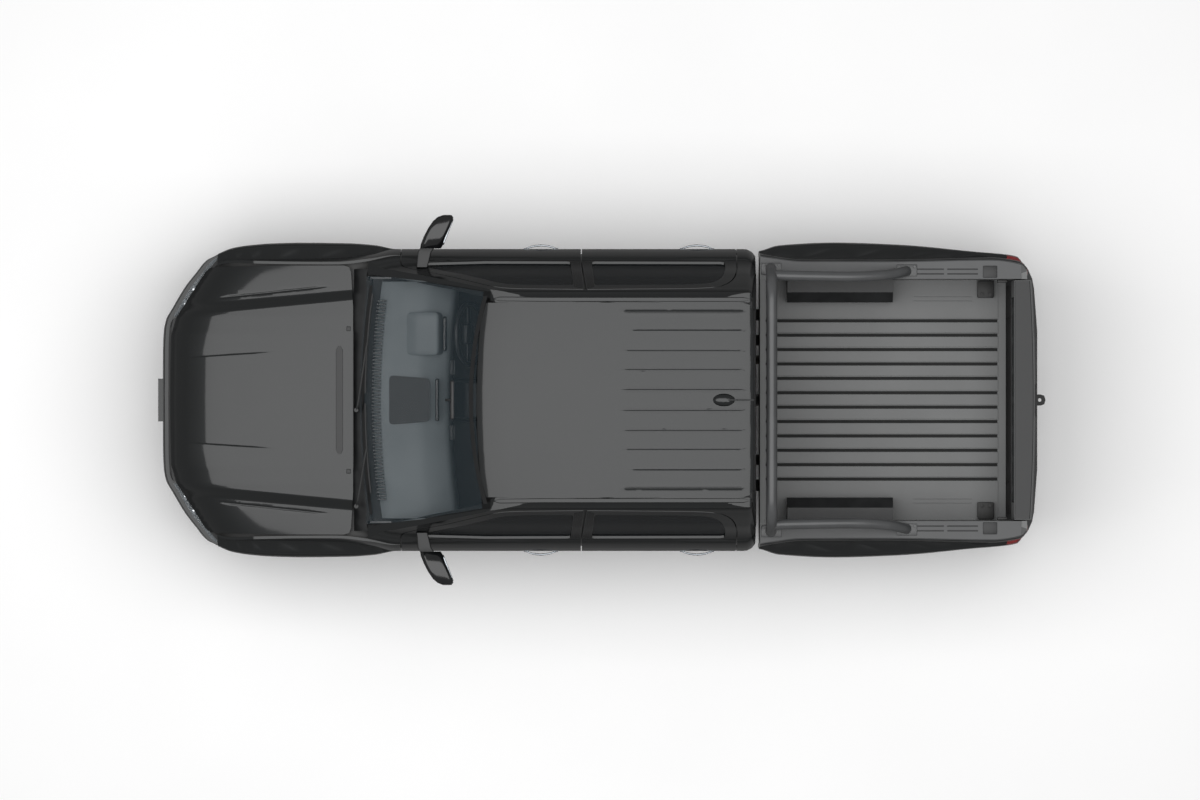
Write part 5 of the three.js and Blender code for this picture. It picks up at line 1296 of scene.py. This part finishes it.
HOOD_ROWS = [1480, 1700, 1900, 2100, 2250, 2360, 2450, 2510, 2560, 2625]
HOOD_COLUMNS = [-830, -720, -640, -560, -500, -390, 0, 390, 500, 560, 640, 720, 830]
hood = panel_copy("hood")
slice_evenly(hood, (0, 1))
for sign in (1, -1):
    for start, end, offsets in (
        ((1640, groove_y(1640)), (2330, groove_y(2330)), (-11, -5, 0, 5, 11)),
        ((1900, crease_y(1900)), (2600, crease_y(2600)), (-14, -7, 0)),
        ((1500, 600), (2313, 526), (0, 12, 24, 46, 58, 70)),
    ):
        normal = (sign * (start[1] - end[1]), end[0] - start[0], 0)
        for offset in offsets:
            slice_at(hood, (start[0], sign * (start[1] + offset), 0), normal)
for back in (14, 30, 50, 75):
    slice_at(hood, (2617 - back, 0, 0), (1, 0, 0))
normals = lay_on(hood, TOP, HOOD_ROWS, HOOD_COLUMNS, hood_skin, shaped_hood)
panel("hood_panel", "hood", hood, body_paint, "hood", normals)
nozzles = bmesh.new()
for y in (-430, 430):
    z = hood_skin(1530, y)
    merge_in(nozzles, block((1518, y - 14, z - 2), (1544, y + 14, z + 8), 4))
piece("washer_nozzles", nozzles, moulded_black, "hood")
strip_rings = []
for i in range(25):
    y = -326 + 652 * i / 24
    end = 1 - 0.6 * smoothstep(abs(y), 300, 326)
    strip_rings.append([
        (1586 + dx * end, y, hood_skin(1586 + dx, y) + dz)
        for dx, dz in ((-22, -1), (-19, 2), (19, 2), (22, -1))
    ])
piece("hood_vent_strip", lofted(strip_rings), moulded_black, "hood")

# ------------------------------------------------------------------------------------------------
# Front wings: pressed steel bolted to the apron under the hood's edge, flared over each wheel,
# with a moulded liner inside the arch.
# ------------------------------------------------------------------------------------------------
WING_XS = [1210, 1380, 1550, FRONT_AXLE_X, 2060, 2180, 2260, 2335]
WING_ZS = [440, 610, 780, 905, 946, 966, 985, 1110, 1212]
for side, sign in SIDES.items():
    wing = panel_copy(f"fender_{side}")
    slice_evenly(wing, (0, 2))
    normals = lay_on(
        wing, SIDE, WING_XS, WING_ZS, side_skin, pressed_side,
        lambda off, place: smoothstep(abs(place.y), 740, 800),
    )
    made = panel(f"front_wing_{side}", f"fender_{side}", wing, body_paint, "root", normals)
    second_finish(
        made, moulded_black,
        lambda face: face.normal.y * sign < -0.3 or (abs(face.center.y) < 0.82 and face.center.z < 0.99),
    )

# ------------------------------------------------------------------------------------------------
# Cowl and wipers: a moulded cover fills the gap between hood and screen, and two steel arms with
# rubber blades park along the foot of the glass.
# ------------------------------------------------------------------------------------------------
def cowl_rows(y):
    side = abs(y)
    rear_x = screen_x(y, 1226) + 3 if side < 735 else 1428 - (side - 735) * 0.3
    rear_z = 1219 if side < 700 else 1219 - (side - 700) * 0.35
    front_z = hood_skin(1560, y) - 42
    return [(1560, y, front_z), (1500, y, front_z + 6), (rear_x + 26, y, rear_z - 12), (rear_x, y, rear_z)]


for side, sign in SIDES.items():
    rings = []
    for i in range(30):
        x = 1290 + (2392 - 1290) * i / 29
        edge_x = max(x, 1520)
        top = hood_skin(edge_x, 812) - 40 - 22 * smoothstep(-x, -1420, -1290)
        reach = 834 if x < 2320 else 834 - (x - 2320) * 0.9
        rings.append([(x, sign * y, top + dz) for y, dz in ((742, -6), (742, 0), (reach, 0), (reach, -6))])
    piece(f"hood_gutter_{side}", lofted(rings), chassis_paint)

cowl = bmesh.new()
columns = [[cowl.verts.new(point) for point in cowl_rows(-790 + 1580 * i / 40)] for i in range(41)]
for left, right in zip(columns, columns[1:]):
    for k in range(3):
        cowl.faces.new((left[k], left[k + 1], right[k + 1], right[k]))
bmesh.ops.recalc_face_normals(cowl, faces=cowl.faces)
bmesh.ops.solidify(cowl, geom=cowl.faces[:], thickness=3)
piece("cowl_cover", cowl, moulded_black, crease=40)

wipers = bmesh.new()
for start, end, pivot in ((-640, -40, (1484, 60)), (20, 560, (1484, 640))):
    blade = []
    for i in range(9):
        y = start + (end - start) * i / 8
        blade.append((screen_x(y, 1252) + 10, y, 1262))
    merge_in(wipers, bent_tube(blade, 5.5, 2, 8))
    middle = blade[4]
    reach = [
        (pivot[0], pivot[1], 1226), (pivot[0] - 14, pivot[1] - 60, 1246),
        (middle[0] + 6, middle[1] + 30, 1272), (middle[0], middle[1], 1268),
    ]
    merge_in(wipers, bent_tube(reach, 6.5, 4, 8))
    merge_in(wipers, rod((pivot[0], pivot[1], 1200), (pivot[0], pivot[1], 1234), 13, 16))
piece("wipers", wipers, moulded_black)

# ------------------------------------------------------------------------------------------------
# Nose: a moulded bumper painted with the body, a black grille over lower bars, and lamps with
# clear lenses over plated bowls, all clipped to the frame's front end.
# ------------------------------------------------------------------------------------------------
nose_plan = curve_through(
    [
        (0, 2677), (300, 2676), (420, 2671), (490, 2657), (560, 2618), (690, 2540), (771, 2477), (852, 2408),
        (886, 2335), (908, 2280),
    ]
)
nose_setback = curve_through(
    [(330, 62), (380, 26), (450, 6), (560, 0), (700, 4), (790, 20), (802, 42), (900, 52), (1000, 70)]
)


def nose_skin(y, z):
    return nose_plan(abs(y)) - nose_setback(z)


NOSE_COLUMNS = [-880, -852, -771, -690, -560, -490, -420, 0, 420, 490, 560, 690, 771, 852, 880]
bumper = panel_copy("front_bumper")
slice_evenly(bumper, (1, 2))
normals = lay_on(
    bumper, FRONT, NOSE_COLUMNS, [330, 380, 450, 560, 700, 790], nose_skin, nose_skin,
    lambda off, place: -62 < off < 4 and abs(place.y) < 881,
)
wing_xs = [2000, 2120, 2246, 2300, 2360]
wing_normals = lay_on(
    bumper, SIDE, wing_xs, [480, 620, 790], side_skin, side_skin,
    lambda off, place: -20 < off and place.x < 2361 and abs(place.y) > 840,
)
for index, normal in wing_normals.items():
    normals.setdefault(index, normal)
panel("front_bumper_skin", "front_bumper", bumper, body_paint, "root", normals)

GRILLE_COLUMNS = [-520, -490, -420, -250, 0, 250, 420, 490, 520]
GRILLE_ROWS = [804, 860, 900, 950, 985]
grille = panel_copy("grille")
slice_evenly(grille, (1,))
normals = lay_on(
    grille, FRONT, GRILLE_COLUMNS, GRILLE_ROWS, nose_skin, nose_skin, lambda off, place: off > -50
)
panel("grille_frame", "grille", grille, moulded_black, "root", normals)
lower_bars = bmesh.new()
for z in (430, 470, 510):
    rings = []
    for i in range(25):
        y = -490 + 980 * i / 24
        x = nose_skin(y, z) - 24
        rings.append([(x + dx, y, z + dz) for dx, dz in ((-8, -7), (10, -5), (10, 5), (-8, 7))])
    merge_in(lower_bars, lofted(rings))
piece("lower_grille_bars", lower_bars, moulded_black)

# Clear hard-coated polycarbonate over the lamps.
clear_lens = float_glass("hard_coated_polycarbonate", 0x9AA2A8, 0.2, 0.85)
lamp_bowl = mottled("vacuum_plated_bowl", 0xC4C8CC, 0xD4D8DC, 30, (0.1, 0.2), 8, 0.02, metallic=1.0)
for side, sign in SIDES.items():
    lamp = panel_copy(f"headlamp_{side}")
    slice_evenly(lamp, (1, 2))
    columns = [500, 560, 690, 771, 852, 870, 890]
    for vert in lamp.verts:
        vert.co.y *= sign
    normals = lay_on(lamp, FRONT, columns, [806, 860, 900, 950], nose_skin, nose_skin)
    for vert in lamp.verts:
        vert.co.y *= sign
    normals = {index: Vector((normal.x, normal.y * sign, normal.z)) for index, normal in normals.items()}
    housing = bmesh.new()
    merge_in(housing, lamp, Matrix.Translation((-26, 0, 1)))
    panel(f"headlamp_lens_{side}", f"headlamp_{side}", lamp, clear_lens, "root", normals)
    piece(f"headlamp_housing_{side}", housing, moulded_black)
    bowls = bmesh.new()
    for y, radius in ((580, 34), (668, 30)):
        bowl = turn_profile(
            [(4, -20), (radius * 0.7, -12), (radius, 0), (radius + 3, 0), (radius + 1, -16), (4, -26)], 32
        )
        x = nose_skin(y, 880)
        place = Matrix.Translation((x - 22, sign * y, 882)) @ Matrix.Rotation(-math.pi / 2, 4, "Z")
        merge_in(bowls, bowl, place)
        ends = ((x - 40, sign * y, 882), (x - 20, sign * y, 882))
        merge_in(bowls, rod(*ends, radius * 0.5, 24, radius * 0.36))
    piece(f"headlamp_bowls_{side}", bowls, lamp_bowl)

# ------------------------------------------------------------------------------------------------
# The studio: a white floor with a wide soft box overhead, and a camera high above that looks
# straight down with the truck's nose to its left.
# ------------------------------------------------------------------------------------------------
VIEW_WIDTH = 1200 * 6.05
VIEW_CENTRE = (15, 0)
CAMERA_HEIGHT = 60

# Painted studio floor: matt and very slightly uneven.
studio_floor = mottled("matt_painted_floor", 0xFCFCFC, 0xFFFFFF, 2000, (0.85, 0.95), 30, 0.01)
floor = block((-30000, -30000, -60), (30000, 30000, -0.3))
floor_mesh = bpy.data.meshes.new("studio_floor")
bmesh.ops.scale(floor, vec=(MM, MM, MM), verts=floor.verts)
floor.to_mesh(floor_mesh)
floor.free()
floor_mesh.materials.append(studio_floor)
stage = bpy.data.objects.new("studio_floor", floor_mesh)
bpy.context.collection.objects.link(stage)
# The car mirrors a dark room below the horizon instead of the lit floor.
stage.visible_glossy = False


def soft_box(name, place, size, watts, aim=(0, 0, 0.6)):
    data = bpy.data.lights.new(name, "AREA")
    data.shape = "RECTANGLE"
    data.size, data.size_y = size
    data.energy = watts
    made = bpy.data.objects.new(name, data)
    made.location = place
    made.rotation_euler = (Vector(aim) - Vector(place)).to_track_quat("-Z", "Y").to_euler()
    bpy.context.collection.objects.link(made)


soft_box("overhead_soft_box", (0.3, 0, 9), (7, 13.6), 800)

world = bpy.data.worlds.new("studio_air")
world.use_nodes = True
world.node_tree.nodes["Background"].inputs["Color"].default_value = (1, 1, 1, 1)
way_out = add(world.node_tree, "TexCoord").outputs["Generated"]
height = add(world.node_tree, "SeparateXYZ", inputs={"Vector": way_out}).outputs["Z"]
band = {"Value": height, "From Min": -0.3, "From Max": -0.1, "To Min": 0.13, "To Max": 0.42}
glow = add(world.node_tree, "MapRange", inputs=band).outputs["Result"]
world.node_tree.links.new(glow, world.node_tree.nodes["Background"].inputs["Strength"])
bpy.context.scene.world = world
bpy.context.scene.view_settings.view_transform = "Standard"

lens = bpy.data.cameras.new("camera")
lens.sensor_width = 36
lens.lens = 36 * (CAMERA_HEIGHT - 1.0) / (VIEW_WIDTH * MM)
lens.clip_end = 300
camera = bpy.data.objects.new("camera", lens)
camera.location = (VIEW_CENTRE[0] * MM, VIEW_CENTRE[1] * MM, CAMERA_HEIGHT)
camera.rotation_euler = (0, 0, math.pi)
bpy.context.collection.objects.link(camera)
bpy.context.scene.camera = camera
